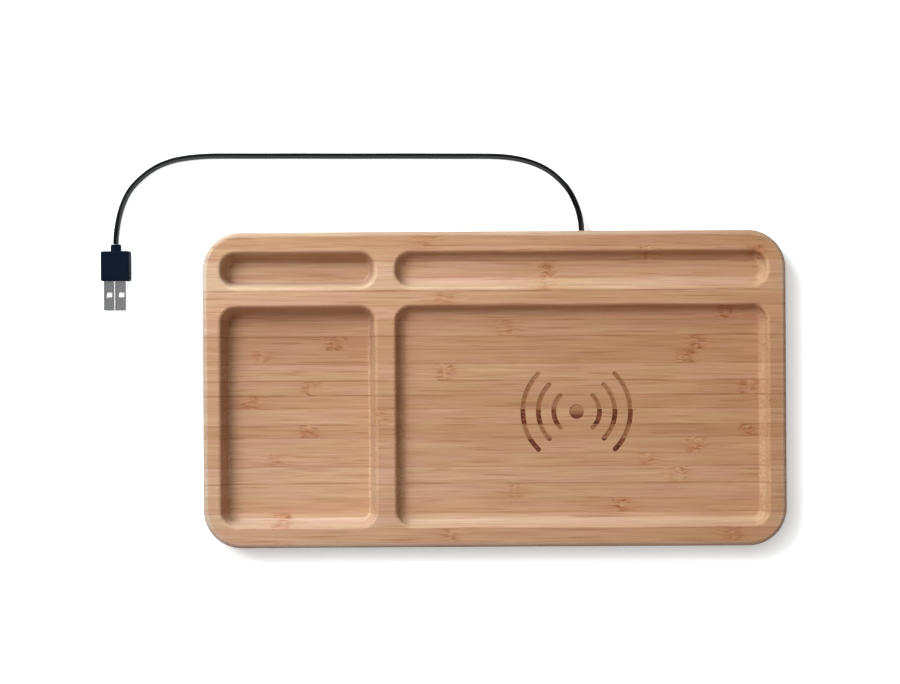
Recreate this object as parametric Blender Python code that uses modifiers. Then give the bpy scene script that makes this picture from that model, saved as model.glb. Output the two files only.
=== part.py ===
"""Bamboo desk tray with a built-in wireless charging module and a captive USB cable.

Lengths are in metres. X runs along the tray, Y from its front edge to its rear edge, Z up.
The origin is on the desk surface, under the middle of the tray.
"""
import math

import bmesh
import bpy
import numpy as np
from mathutils import Matrix, Vector

# Clearances
SEAT_GAP = 0.0003
CUT_OVERRUN = 0.002

# Bamboo tray: rims and dividers are measured on the top face, between the pockets' mouths
TRAY_LENGTH = 0.290
TRAY_WIDTH = 0.157
TRAY_THICKNESS = 0.020
TRAY_CORNER_RADIUS = 0.019
TRAY_EDGE_ROUND = 0.0021
LEFT_RIM = 0.0080
RIGHT_RIM = 0.0079
REAR_RIM = 0.0091
FRONT_RIM = 0.0093
LEFT_COLUMN_LENGTH = 0.0794
COLUMN_DIVIDER = 0.0074
SLOT_WIDTH = 0.0198
ROW_DIVIDER = 0.0071
LEFT_POCKET_DEPTH = 0.0135
RIGHT_POCKET_DEPTH = 0.0080
POCKET_CORNER_RADIUS = 0.0070
POCKET_FOOT_RADIUS = 0.0044

# Fineness of round shapes
CORNER_SEGMENTS = 9
POCKET_SEGMENTS = 6
SMALL_CORNER_SEGMENTS = 4
ROUND_SEGMENTS = 3
EDGE_SEGMENTS = 2
HOLE_SEGMENTS = 12
SCREW_SEGMENTS = 14
BORE_SEGMENTS = 16
RING_SEGMENTS = 20
FOOT_SEGMENTS = 24
PAD_SEGMENTS = 32
FERRITE_SEGMENTS = 40
SMOOTH_ANGLE = math.radians(35)
RIM_ANGLE = math.radians(60)
LEVEL_TOLERANCE_SHARE = 0.01
WELD_DISTANCE = 0.00002

# Rubber feet, stuck into shallow sockets
FOOT_STAND = 0.0016
FOOT_DIAMETER = 0.0100
FOOT_SOCKET_DEPTH = 0.0008
FOOT_EDGE_ROUND = 0.0005
FOOT_INSET = 0.0170

# Base cover, let into the underside
COVER_THICKNESS = 0.0018
COVER_RECESS = 0.0002
COVER_LEDGE = 0.0070
COVER_CORNER_RADIUS = 0.0030
COVER_SCREW_DIAMETER = 0.0022
COVER_SCREW_HEAD_DIAMETER = 0.0044
COVER_SCREW_HEAD_HEIGHT = 0.0012
COVER_SCREW_LENGTH = 0.0080
SCREW_POINT_LENGTH = 0.0012

# Charging module, from the base cover up
COIL_OFFSET_X = -0.0025
COIL_OFFSET_Y = 0.0015
COMPONENT_ROOM = 0.0020
BOARD_LENGTH = 0.0560
BOARD_WIDTH = 0.0560
BOARD_THICKNESS = 0.0012
BOARD_CORNER_RADIUS = 0.0030
BOARD_SIDE_CLEARANCE = 0.0040
RECESS_CORNER_RADIUS = 0.0050
PAD_DIAMETER = 0.0440
PAD_THICKNESS = 0.0005
FERRITE_DIAMETER = 0.0480
FERRITE_THICKNESS = 0.0012
COIL_WIRE_DIAMETER = 0.0007
COIL_INNER_RADIUS = 0.0108
COIL_PITCH = 0.00118
COIL_TURNS = 10
COIL_POINTS_PER_TURN = 24
COIL_CLIMB_ANGLE = math.pi / 3
LEAD_TURN_RADIUS = 0.0020
LEAD_OFFSET = 0.0020
LEAD_PAD_LENGTH = 0.0020
LEAD_EDGE_CLEARANCE = 0.0010
LEAD_CLIMB_RADIUS = 0.0090
LEAD_POINTS = 7
LEAD_BEND_POINTS = 5
# How a tube is tested against itself, in its own diameters
SELF_TEST_SPAN = 3
SELF_TEST_STEP = 1 / 3

# Board fixings
SPACER_DIAMETER = 0.0050
BOARD_SCREW_DIAMETER = 0.0020
BOARD_SCREW_HEAD_DIAMETER = 0.0038
BOARD_SCREW_HEAD_HEIGHT = 0.0011
BOARD_SCREW_INSET = 0.0036
BOARD_SCREW_DOME_SHARE = 0.5
BOARD_SCREW_CROWN_SHARE = 0.7
PILOT_SKIN_SHARE = 0.6

# Parts on the underside of the board: length, width and height of each kind
CONTROLLER_SIZE = (0.0070, 0.0070, 0.0009)
BRIDGE_SIZE = (0.0050, 0.0060, 0.0010)
RESONANCE_CAPACITOR_SIZE = (0.0045, 0.0032, 0.0012)
INPUT_CAPACITOR_SIZE = (0.0032, 0.0025, 0.0012)
SENSE_RESISTOR_SIZE = (0.0064, 0.0032, 0.0006)
INDUCTOR_SIZE = (0.0060, 0.0060, 0.0012)
PART_EDGE_ROUND = 0.0002
# Their places, as shares of the board's length and width from its middle
PART_PLACE_SHARES = {
    "controller_chip": (-0.06, -0.02),
    "bridge_chip_1": (0.19, -0.14),
    "bridge_chip_2": (0.19, 0.04),
    "resonance_capacitor_1": (-0.33, -0.20),
    "resonance_capacitor_2": (-0.33, -0.09),
    "resonance_capacitor_3": (-0.33, 0.02),
    "resonance_capacitor_4": (-0.33, 0.13),
    "input_capacitor": (-0.10, 0.26),
    "sense_resistor": (0.05, -0.30),
    "filter_inductor": (0.29, 0.24),
}

# Cable and the way it is held
CABLE_DIAMETER = 0.0030
EXIT_OFFSET_X = 0.0032
CABLE_BAY_LENGTH = 0.0260
CABLE_BAY_WIDTH = 0.0120
CLAMP_LENGTH = 0.0180
CLAMP_WIDTH = 0.0060
CLAMP_WEB = 0.0008
CLAMP_COVER_GAP = 0.0004
CLAMP_CORNER_RADIUS = 0.0012
CLAMP_SCREW_SPACING = 0.0114
CLAMP_SCREW_DIAMETER = 0.0018
CLAMP_SCREW_HEAD_DIAMETER = 0.0034
CLAMP_SCREW_HEAD_HEIGHT = 0.0012
CLAMP_SCREW_BITE = 0.0040
GROMMET_DIAMETER = 0.0066
GROMMET_LENGTH = 0.0050
GROMMET_RECESS = 0.0002
GROMMET_EDGE_ROUND = 0.0004
JACKET_OVERHANG = 0.0020
WIRE_DIAMETER = 0.0011
WIRE_SPREAD = 0.0040
WIRE_LAP = 0.0050
WIRE_BEND_SHARE = 0.62
WIRE_POINTS = 13

# Route of the free cable: places from the exit, in X and Y, and heights above the desk
CABLE_LIE_HEIGHT = 0.00155
CABLE_DROP_SHARES = (1.0, 0.94, 0.74, 0.42, 0.15, 0.02)
CABLE_RISE_SHARES = (0.05, 0.35, 0.8, 1.0)
CABLE_ROUTE = [
    (0.0000, 0.0003), (-0.0003, 0.0040), (-0.0011, 0.0086), (-0.0028, 0.0140), (-0.0055, 0.0197),
    (-0.0092, 0.0246), (-0.0152, 0.0300), (-0.0227, 0.0341), (-0.0315, 0.0367), (-0.0404, 0.0379),
    (-0.0503, 0.0382), (-0.0654, 0.0383), (-0.0905, 0.0385), (-0.1156, 0.0386), (-0.1407, 0.0388),
    (-0.1632, 0.0389), (-0.1784, 0.0390), (-0.1884, 0.0389), (-0.1984, 0.0380), (-0.2060, 0.0364),
    (-0.2135, 0.0333), (-0.2204, 0.0284), (-0.2260, 0.0225), (-0.2293, 0.0165), (-0.2314, 0.0104),
    (-0.2326, 0.0044), (-0.2332, -0.0010), (-0.2333, -0.0048),
]
CABLE_POINTS = 80
ROUTE_STEPS = 24

# USB plug at the cable's end, rolled a little onto its left edge by the cable's twist
PLUG_ROLL = math.radians(7)
PLUG_BODY_WIDTH = 0.0145
PLUG_BODY_LENGTH = 0.0151
PLUG_BODY_HEIGHT = 0.0074
PLUG_BODY_ROUND = 0.0009
PLUG_COLLAR_DIAMETER = 0.0054
PLUG_COLLAR_LENGTH = 0.0034
PLUG_COLLAR_ROUND = 0.0008
PLUG_SHELL_WIDTH = 0.0120
PLUG_SHELL_HEIGHT = 0.0045
PLUG_SHELL_LENGTH = 0.0147
PLUG_SHELL_WALL = 0.00035
PLUG_SHELL_ROUND = 0.0006
PLUG_SOCKET_DEPTH = 0.0025
PLUG_WINDOW_LENGTH = 0.0026
PLUG_WINDOW_WIDTH = 0.0030
PLUG_WINDOW_SPACING = 0.0061
PLUG_WINDOW_FROM_MOUTH = 0.0080
PLUG_ROOT_LENGTH = 0.0040
PLUG_TONGUE_THICKNESS = 0.0017
PLUG_TONGUE_INSET = 0.0010
PLUG_CONTACT_COUNT = 4
PLUG_CONTACT_WIDTH = 0.0010
PLUG_CONTACT_THICKNESS = 0.0003
PLUG_CONTACT_PITCH = 0.0023
PLUG_CONTACT_INSET = 0.0012

# Heights above the desk, from the underside up
TRAY_BOTTOM = FOOT_STAND
TRAY_TOP = TRAY_BOTTOM + TRAY_THICKNESS
COVER_BOTTOM = TRAY_BOTTOM + COVER_RECESS
COVER_TOP = COVER_BOTTOM + COVER_THICKNESS
LEDGE_HEIGHT = COVER_TOP + SEAT_GAP
BOARD_BOTTOM = COVER_TOP + COMPONENT_ROOM
BOARD_TOP = BOARD_BOTTOM + BOARD_THICKNESS
PAD_BOTTOM = BOARD_TOP + SEAT_GAP
FERRITE_BOTTOM = PAD_BOTTOM + PAD_THICKNESS + SEAT_GAP
FERRITE_TOP = FERRITE_BOTTOM + FERRITE_THICKNESS
COIL_HEIGHT = FERRITE_TOP + SEAT_GAP + COIL_WIRE_DIAMETER / 2
RECESS_CEILING = COIL_HEIGHT + COIL_WIRE_DIAMETER / 2 + SEAT_GAP
CHARGE_FLOOR = TRAY_TOP - RIGHT_POCKET_DEPTH
PILOT_DEPTH = (CHARGE_FLOOR - RECESS_CEILING) * PILOT_SKIN_SHARE
CLAMP_BOTTOM = COVER_TOP + CLAMP_COVER_GAP
CABLE_HEIGHT = CLAMP_BOTTOM + CLAMP_WEB + SEAT_GAP + CABLE_DIAMETER / 2
CLAMP_TOP = CABLE_HEIGHT + CABLE_DIAMETER / 2
BAY_CEILING = CLAMP_TOP + SEAT_GAP

# Places in plan
LEFT_COLUMN_START = -TRAY_LENGTH / 2 + LEFT_RIM
LEFT_COLUMN_END = LEFT_COLUMN_START + LEFT_COLUMN_LENGTH
RIGHT_COLUMN_START = LEFT_COLUMN_END + COLUMN_DIVIDER
RIGHT_COLUMN_END = TRAY_LENGTH / 2 - RIGHT_RIM
SLOT_ROW_END = TRAY_WIDTH / 2 - REAR_RIM
SLOT_ROW_START = SLOT_ROW_END - SLOT_WIDTH
TRAY_ROW_END = SLOT_ROW_START - ROW_DIVIDER
TRAY_ROW_START = -TRAY_WIDTH / 2 + FRONT_RIM
COIL_X = (RIGHT_COLUMN_START + RIGHT_COLUMN_END) / 2 + COIL_OFFSET_X
COIL_Y = (TRAY_ROW_START + TRAY_ROW_END) / 2 + COIL_OFFSET_Y
RECESS_LENGTH = BOARD_LENGTH + 2 * BOARD_SIDE_CLEARANCE
RECESS_WIDTH = BOARD_WIDTH + 2 * BOARD_SIDE_CLEARANCE
RECESS_REAR = COIL_Y + RECESS_WIDTH / 2
BAY_REAR = RECESS_REAR + CABLE_BAY_WIDTH
CLAMP_Y = RECESS_REAR + CABLE_BAY_WIDTH / 2
REBATE_LENGTH = RECESS_LENGTH + 2 * COVER_LEDGE
REBATE_FRONT = COIL_Y - RECESS_WIDTH / 2 - COVER_LEDGE
REBATE_REAR = BAY_REAR + COVER_LEDGE
EXIT_X = COIL_X + EXIT_OFFSET_X
REAR_FACE = TRAY_WIDTH / 2

# Colour, roughness and metallic value of each material
MATERIALS = {
    "bamboo": ((0.60, 0.37, 0.20), 0.50, 0.0),
    "cover_plastic": ((0.03, 0.03, 0.032), 0.55, 0.0),
    "rubber": ((0.035, 0.035, 0.035), 0.85, 0.0),
    "screw_steel": ((0.55, 0.55, 0.56), 0.30, 1.0),
    "copper": ((0.72, 0.32, 0.14), 0.35, 1.0),
    "ferrite": ((0.07, 0.07, 0.075), 0.60, 0.0),
    "pad_film": ((0.75, 0.74, 0.70), 0.70, 0.0),
    "board": ((0.02, 0.16, 0.07), 0.45, 0.0),
    "chip": ((0.02, 0.02, 0.022), 0.50, 0.0),
    "capacitor": ((0.50, 0.36, 0.22), 0.45, 0.0),
    "spacer_nylon": ((0.85, 0.84, 0.80), 0.50, 0.0),
    "cable_jacket": ((0.012, 0.012, 0.013), 0.45, 0.0),
    "wire_red": ((0.55, 0.03, 0.02), 0.45, 0.0),
    "wire_black": ((0.015, 0.015, 0.015), 0.45, 0.0),
    "plug_plastic": ((0.013, 0.018, 0.027), 0.50, 0.0),
    "plug_steel": ((0.50, 0.51, 0.50), 0.32, 1.0),
    "plug_insulator": ((0.88, 0.88, 0.86), 0.50, 0.0),
    "gold": ((0.83, 0.62, 0.26), 0.25, 1.0),
}


def clear_scene():
    for old in list(bpy.data.objects):
        bpy.data.objects.remove(old, do_unlink=True)


def new_collection(name):
    collection = bpy.data.collections.new(name)
    bpy.context.scene.collection.children.link(collection)
    return collection


def material(name):
    if name in bpy.data.materials:
        return bpy.data.materials[name]
    colour, roughness, metallic = MATERIALS[name]
    mat = bpy.data.materials.new(name)
    mat.use_nodes = True
    shader = mat.node_tree.nodes["Principled BSDF"]
    shader.inputs["Base Color"].default_value = (*colour, 1.0)
    shader.inputs["Roughness"].default_value = roughness
    shader.inputs["Metallic"].default_value = metallic
    mat.diffuse_color = (*colour, 1.0)
    return mat


clear_scene()
PARTS = new_collection("wireless_charger_tray")
CUTTERS = new_collection("cutters")


def add_part(name, data, mat_name, location=(0, 0, 0)):
    data.materials.clear()
    data.materials.append(material(mat_name))
    obj = bpy.data.objects.new(name, data)
    obj.location = location
    PARTS.objects.link(obj)
    return obj


def add_cutter(name, data, location=(0, 0, 0)):
    obj = bpy.data.objects.new("cut_" + name, data)
    obj.location = location
    obj.hide_render = True
    obj.display_type = "WIRE"
    CUTTERS.objects.link(obj)
    return obj


def smooth(mesh):
    mesh.shade_smooth()
    mesh.set_sharp_from_angle(angle=SMOOTH_ANGLE)
    return mesh


def block_mesh(name, size, corner_radius=0, corner_segments=ROUND_SEGMENTS, foot_radius=0,
               foot_segments=ROUND_SEGMENTS):
    """A box about its own middle, with rounded upright edges and a rounded foot."""
    bm = bmesh.new()
    bmesh.ops.create_cube(bm, size=1.0)
    bmesh.ops.scale(bm, vec=size, verts=bm.verts)
    if corner_radius > 0:
        upright = [e for e in bm.edges if abs(e.verts[0].co.z - e.verts[1].co.z) > size[2] / 2]
        bmesh.ops.bevel(bm, geom=upright, offset=corner_radius, segments=corner_segments,
                        profile=0.5, affect="EDGES")
    if foot_radius > 0:
        level = size[2] * LEVEL_TOLERANCE_SHARE - size[2] / 2
        foot = [e for e in bm.edges if all(v.co.z < level for v in e.verts)]
        bmesh.ops.bevel(bm, geom=foot, offset=foot_radius, segments=foot_segments, profile=0.5,
                        affect="EDGES")
    mesh = bpy.data.meshes.new(name)
    bm.to_mesh(mesh)
    bm.free()
    return smooth(mesh)


def cylinder_mesh(name, radius, height, segments=RING_SEGMENTS, top_radius=None):
    """An upright cylinder or cone about its own middle."""
    bm = bmesh.new()
    bmesh.ops.create_cone(bm, cap_ends=True, segments=segments, radius1=radius,
                          radius2=radius if top_radius is None else top_radius, depth=height)
    mesh = bpy.data.meshes.new(name)
    bm.to_mesh(mesh)
    bm.free()
    return smooth(mesh)


def turned_part(name, profile, mat_name, location, steps=RING_SEGMENTS, closed=False):
    """A profile of (radius, height) points, top to bottom on the outside, turned about Z."""
    mesh = bpy.data.meshes.new(name)
    edges = [(i, i + 1) for i in range(len(profile) - 1)]
    if closed:
        edges.append((len(profile) - 1, 0))
    mesh.from_pydata([(r, 0, z) for r, z in profile], edges, [])
    obj = add_part(name, mesh, mat_name, location)
    screw = obj.modifiers.new("Turn", "SCREW")
    screw.axis = "Z"
    screw.angle = math.tau
    screw.steps = steps
    screw.render_steps = steps
    screw.use_merge_vertices = True
    screw.merge_threshold = WELD_DISTANCE
    screw.use_smooth_shade = True
    return obj


def tube_part(name, points, diameter, mat_name, bevel_resolution=2):
    curve = bpy.data.curves.new(name, "CURVE")
    curve.dimensions = "3D"
    spline = curve.splines.new("POLY")
    spline.points.add(len(points) - 1)
    for slot, point in zip(spline.points, points):
        slot.co = (*point, 1.0)
    curve.bevel_depth = diameter / 2
    curve.bevel_resolution = bevel_resolution
    curve.use_fill_caps = True
    return add_part(name, curve, mat_name)


def cut(target, cutter):
    boolean = target.modifiers.new(cutter.name, "BOOLEAN")
    boolean.operation = "DIFFERENCE"
    boolean.solver = "EXACT"
    boolean.object = cutter


def apply_modifiers(obj):
    """Replaces an object's mesh by what its modifiers make of it."""
    depsgraph = bpy.context.evaluated_depsgraph_get()
    mesh = bpy.data.meshes.new_from_object(obj.evaluated_get(depsgraph))
    obj.modifiers.clear()
    obj.data = smooth(mesh)


def cylinder_cut(target, name, radius, low, high, location, rotation=(0, 0, 0),
                 segments=HOLE_SEGMENTS, top_radius=None):
    """Cuts a round hole whose ends lie at low and high along its own axis."""
    x, y, z = location
    cutter = add_cutter(name, cylinder_mesh(name, radius, high - low, segments, top_radius))
    cutter.rotation_euler = rotation
    axis = cutter.rotation_euler.to_matrix() @ Vector((0, 0, 1))
    cutter.location = Vector((x, y, z)) + axis * ((low + high) / 2)
    cut(target, cutter)
    return cutter


def pocket_cutter(name, x_range, y_range, depth):
    """The space of one milled pocket: round corners and a coved foot."""
    length = x_range[1] - x_range[0] - 2 * TRAY_EDGE_ROUND
    width = y_range[1] - y_range[0] - 2 * TRAY_EDGE_ROUND
    mesh = block_mesh(name, (length, width, depth + CUT_OVERRUN), POCKET_CORNER_RADIUS,
                      POCKET_SEGMENTS, POCKET_FOOT_RADIUS, ROUND_SEGMENTS)
    middle_z = TRAY_TOP - depth + (depth + CUT_OVERRUN) / 2
    return add_cutter(name, mesh, ((x_range[0] + x_range[1]) / 2, (y_range[0] + y_range[1]) / 2, middle_z))


def corner_places(centre, half_length, half_width):
    return [(centre[0] + i * half_length, centre[1] + j * half_width)
            for i, j in ((-1, -1), (1, -1), (1, 1), (-1, 1))]


def foot_places():
    return corner_places((0, 0), TRAY_LENGTH / 2 - FOOT_INSET, TRAY_WIDTH / 2 - FOOT_INSET)


def cover_screw_places():
    middle = (REBATE_FRONT + REBATE_REAR) / 2
    return corner_places((COIL_X, middle), REBATE_LENGTH / 2 - COVER_LEDGE / 2,
                         (REBATE_REAR - REBATE_FRONT) / 2 - COVER_LEDGE / 2)


def board_screw_places():
    return corner_places((COIL_X, COIL_Y), BOARD_LENGTH / 2 - BOARD_SCREW_INSET,
                         BOARD_WIDTH / 2 - BOARD_SCREW_INSET)


def clamp_screw_places():
    return [(EXIT_X + side * CLAMP_SCREW_SPACING / 2, CLAMP_Y) for side in (-1, 1)]


def make_tray():
    size = (TRAY_LENGTH, TRAY_WIDTH, TRAY_THICKNESS)
    mesh = block_mesh("tray", size, TRAY_CORNER_RADIUS, CORNER_SEGMENTS)
    tray = add_part("tray", mesh, "bamboo", (0, 0, TRAY_BOTTOM + TRAY_THICKNESS / 2))

    left = (LEFT_COLUMN_START, LEFT_COLUMN_END)
    right = (RIGHT_COLUMN_START, RIGHT_COLUMN_END)
    slot_row = (SLOT_ROW_START, SLOT_ROW_END)
    tray_row = (TRAY_ROW_START, TRAY_ROW_END)
    cut(tray, pocket_cutter("small_slot", left, slot_row, LEFT_POCKET_DEPTH))
    cut(tray, pocket_cutter("deep_tray", left, tray_row, LEFT_POCKET_DEPTH))
    cut(tray, pocket_cutter("pen_slot", right, slot_row, RIGHT_POCKET_DEPTH))
    cut(tray, pocket_cutter("charging_pocket", right, tray_row, RIGHT_POCKET_DEPTH))

    rims = tray.modifiers.new("Rims", "BEVEL")
    rims.limit_method = "ANGLE"
    rims.angle_limit = RIM_ANGLE
    rims.width = TRAY_EDGE_ROUND
    rims.segments = ROUND_SEGMENTS
    rims.loop_slide = False

    cut_underside(tray)
    apply_modifiers(tray)
    return tray


def cut_underside(tray):
    """The module's recess, the cover's rebate, the cable's way out and the small holes."""
    low = TRAY_BOTTOM - CUT_OVERRUN
    recess_height = RECESS_CEILING - low
    recess = block_mesh("recess", (RECESS_LENGTH, RECESS_WIDTH, recess_height), RECESS_CORNER_RADIUS,
                        SMALL_CORNER_SEGMENTS)
    cut(tray, add_cutter("recess", recess, (COIL_X, COIL_Y, low + recess_height / 2)))

    bay_start = RECESS_REAR - CUT_OVERRUN
    bay = block_mesh("bay", (CABLE_BAY_LENGTH, BAY_REAR - bay_start, BAY_CEILING - low))
    cut(tray, add_cutter("cable_bay", bay, (EXIT_X, (bay_start + BAY_REAR) / 2, (low + BAY_CEILING) / 2)))

    rebate = block_mesh("rebate", (REBATE_LENGTH, REBATE_REAR - REBATE_FRONT, LEDGE_HEIGHT - low),
                        COVER_CORNER_RADIUS, SMALL_CORNER_SEGMENTS)
    cut(tray, add_cutter("rebate", rebate,
                         (COIL_X, (REBATE_FRONT + REBATE_REAR) / 2, (low + LEDGE_HEIGHT) / 2)))

    along_y = (-math.pi / 2, 0, 0)
    cylinder_cut(tray, "cable_bore", CABLE_DIAMETER / 2 + SEAT_GAP, BAY_REAR - CUT_OVERRUN,
                 REAR_FACE + CUT_OVERRUN, (EXIT_X, 0, CABLE_HEIGHT), along_y, BORE_SEGMENTS)
    cylinder_cut(tray, "grommet_bore", GROMMET_DIAMETER / 2 + SEAT_GAP,
                 REAR_FACE - GROMMET_RECESS - GROMMET_LENGTH - SEAT_GAP, REAR_FACE + CUT_OVERRUN,
                 (EXIT_X, 0, CABLE_HEIGHT), along_y, RING_SEGMENTS)

    pilot = COVER_SCREW_DIAMETER / 2 + SEAT_GAP
    for i, (x, y) in enumerate(cover_screw_places(), 1):
        cylinder_cut(tray, f"cover_pilot_{i}", pilot, LEDGE_HEIGHT - CUT_OVERRUN,
                     COVER_BOTTOM + COVER_SCREW_LENGTH + SEAT_GAP, (x, y, 0))
    pilot = BOARD_SCREW_DIAMETER / 2 + SEAT_GAP
    for i, (x, y) in enumerate(board_screw_places(), 1):
        cylinder_cut(tray, f"board_pilot_{i}", pilot, RECESS_CEILING - CUT_OVERRUN / 2,
                     RECESS_CEILING + PILOT_DEPTH, (x, y, 0))
    pilot = CLAMP_SCREW_DIAMETER / 2 + SEAT_GAP
    for i, (x, y) in enumerate(clamp_screw_places(), 1):
        cylinder_cut(tray, f"clamp_pilot_{i}", pilot, BAY_CEILING - CUT_OVERRUN / 2,
                     BAY_CEILING + CLAMP_SCREW_BITE, (x, y, 0))
    for i, (x, y) in enumerate(foot_places(), 1):
        cylinder_cut(tray, f"foot_socket_{i}", FOOT_DIAMETER / 2 + SEAT_GAP, low,
                     TRAY_BOTTOM + FOOT_SOCKET_DEPTH, (x, y, 0), segments=FOOT_SEGMENTS)


def make_feet():
    height = FOOT_STAND + FOOT_SOCKET_DEPTH - SEAT_GAP
    radius = FOOT_DIAMETER / 2
    profile = [(0, height), (radius, height), (radius, FOOT_EDGE_ROUND),
               (radius - FOOT_EDGE_ROUND, 0), (0, 0)]
    for i, (x, y) in enumerate(foot_places(), 1):
        turned_part(f"foot_{i}", profile, "rubber", (x, y, 0), FOOT_SEGMENTS)


def make_cover():
    length = REBATE_LENGTH - 2 * SEAT_GAP
    width = REBATE_REAR - REBATE_FRONT - 2 * SEAT_GAP
    mesh = block_mesh("base_cover", (length, width, COVER_THICKNESS), COVER_CORNER_RADIUS - SEAT_GAP,
                      SMALL_CORNER_SEGMENTS)
    cover = add_part("base_cover", mesh, "cover_plastic",
                     (COIL_X, (REBATE_FRONT + REBATE_REAR) / 2, (COVER_BOTTOM + COVER_TOP) / 2))
    hole = COVER_SCREW_DIAMETER / 2 + SEAT_GAP
    head = COVER_SCREW_HEAD_DIAMETER / 2 + SEAT_GAP
    for i, (x, y) in enumerate(cover_screw_places(), 1):
        cylinder_cut(cover, f"cover_hole_{i}", hole, COVER_BOTTOM - CUT_OVERRUN, COVER_TOP + CUT_OVERRUN,
                     (x, y, 0), segments=BORE_SEGMENTS)
        slope = (head - hole) / COVER_SCREW_HEAD_HEIGHT
        cylinder_cut(cover, f"cover_sink_{i}", head + slope * CUT_OVERRUN, COVER_BOTTOM - CUT_OVERRUN,
                     COVER_BOTTOM + COVER_SCREW_HEAD_HEIGHT, (x, y, 0), segments=BORE_SEGMENTS,
                     top_radius=hole)
    apply_modifiers(cover)


def make_cover_screws():
    shank = COVER_SCREW_DIAMETER / 2
    top = COVER_SCREW_LENGTH
    profile = [(0, top), (shank, top - SCREW_POINT_LENGTH), (shank, COVER_SCREW_HEAD_HEIGHT),
               (COVER_SCREW_HEAD_DIAMETER / 2, 0), (0, 0)]
    for i, (x, y) in enumerate(cover_screw_places(), 1):
        turned_part(f"cover_screw_{i}", profile, "screw_steel", (x, y, COVER_BOTTOM), SCREW_SEGMENTS)


def make_board():
    mesh = block_mesh("circuit_board", (BOARD_LENGTH, BOARD_WIDTH, BOARD_THICKNESS), BOARD_CORNER_RADIUS)
    board = add_part("circuit_board", mesh, "board", (COIL_X, COIL_Y, (BOARD_BOTTOM + BOARD_TOP) / 2))
    hole = BOARD_SCREW_DIAMETER / 2 + SEAT_GAP
    for i, (x, y) in enumerate(board_screw_places(), 1):
        cylinder_cut(board, f"board_hole_{i}", hole, BOARD_BOTTOM - CUT_OVERRUN, BOARD_TOP + CUT_OVERRUN,
                     (x, y, 0))
    apply_modifiers(board)


def make_board_fixings():
    """A nylon spacer and a screw at each corner of the board."""
    bore = BOARD_SCREW_DIAMETER / 2 + SEAT_GAP
    low = BOARD_TOP + SEAT_GAP
    high = RECESS_CEILING - SEAT_GAP
    spacer = [(bore, high - low), (SPACER_DIAMETER / 2, high - low), (SPACER_DIAMETER / 2, 0), (bore, 0)]
    shank = BOARD_SCREW_DIAMETER / 2
    head = BOARD_SCREW_HEAD_DIAMETER / 2
    head_bottom = BOARD_BOTTOM - SEAT_GAP - BOARD_SCREW_HEAD_HEIGHT
    tip = RECESS_CEILING + PILOT_DEPTH - SEAT_GAP - head_bottom
    screw = [(0, tip), (shank, tip - shank), (shank, BOARD_SCREW_HEAD_HEIGHT),
             (head, BOARD_SCREW_HEAD_HEIGHT), (head, BOARD_SCREW_HEAD_HEIGHT * BOARD_SCREW_DOME_SHARE),
             (head * BOARD_SCREW_CROWN_SHARE, 0), (0, 0)]
    for i, (x, y) in enumerate(board_screw_places(), 1):
        turned_part(f"board_spacer_{i}", spacer, "spacer_nylon", (x, y, low), SCREW_SEGMENTS, closed=True)
        turned_part(f"board_screw_{i}", screw, "screw_steel", (x, y, head_bottom), SCREW_SEGMENTS)


def make_board_parts():
    kinds = {
        "controller_chip": (CONTROLLER_SIZE, "chip"),
        "bridge_chip": (BRIDGE_SIZE, "chip"),
        "resonance_capacitor": (RESONANCE_CAPACITOR_SIZE, "capacitor"),
        "input_capacitor": (INPUT_CAPACITOR_SIZE, "capacitor"),
        "sense_resistor": (SENSE_RESISTOR_SIZE, "chip"),
        "filter_inductor": (INDUCTOR_SIZE, "ferrite"),
    }
    for name, (x_share, y_share) in PART_PLACE_SHARES.items():
        size, mat_name = kinds[name.rstrip("_0123456789")]
        mesh = block_mesh(name, size, PART_EDGE_ROUND, 1, PART_EDGE_ROUND, 1)
        middle_z = BOARD_BOTTOM - SEAT_GAP - size[2] / 2
        add_part(name, mesh, mat_name,
                 (COIL_X + x_share * BOARD_LENGTH, COIL_Y + y_share * BOARD_WIDTH, middle_z))


def disc_with_hole(name, diameter, hole_radius, thickness, mat_name, bottom, segments):
    mesh = cylinder_mesh(name, diameter / 2, thickness, segments)
    disc = add_part(name, mesh, mat_name, (COIL_X, COIL_Y, bottom + thickness / 2))
    cylinder_cut(disc, name + "_hole", hole_radius, bottom - CUT_OVERRUN, bottom + thickness + CUT_OVERRUN,
                 (COIL_X, COIL_Y, 0), segments=segments)
    return disc


def make_ferrite():
    """The shield behind the coil, with a slot for the lead that comes from the coil's middle."""
    hole = COIL_INNER_RADIUS - COIL_WIRE_DIAMETER / 2
    ferrite = disc_with_hole("ferrite_disc", FERRITE_DIAMETER, hole, FERRITE_THICKNESS, "ferrite",
                             FERRITE_BOTTOM, FERRITE_SEGMENTS)
    slot_width = COIL_WIRE_DIAMETER + 2 * SEAT_GAP
    slot_length = FERRITE_DIAMETER / 2
    slot = block_mesh("ferrite_slot", (slot_width, slot_length, FERRITE_THICKNESS + 2 * CUT_OVERRUN))
    cut(ferrite, add_cutter("ferrite_slot", slot, (COIL_X + LEAD_OFFSET,
                                                   COIL_Y + hole / 2 + slot_length / 2,
                                                   FERRITE_BOTTOM + FERRITE_THICKNESS / 2)))
    apply_modifiers(ferrite)


def make_pad():
    mesh = cylinder_mesh("insulation_pad", PAD_DIAMETER / 2, PAD_THICKNESS, PAD_SEGMENTS)
    add_part("insulation_pad", mesh, "pad_film", (COIL_X, COIL_Y, PAD_BOTTOM + PAD_THICKNESS / 2))


def arc_points(centre, radius, start, end, count):
    """Points on a level arc about centre, from the start angle to the end angle."""
    angles = np.linspace(start, end, count)
    return [(centre[0] + radius * math.cos(a), centre[1] + radius * math.sin(a)) for a in angles]


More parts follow.
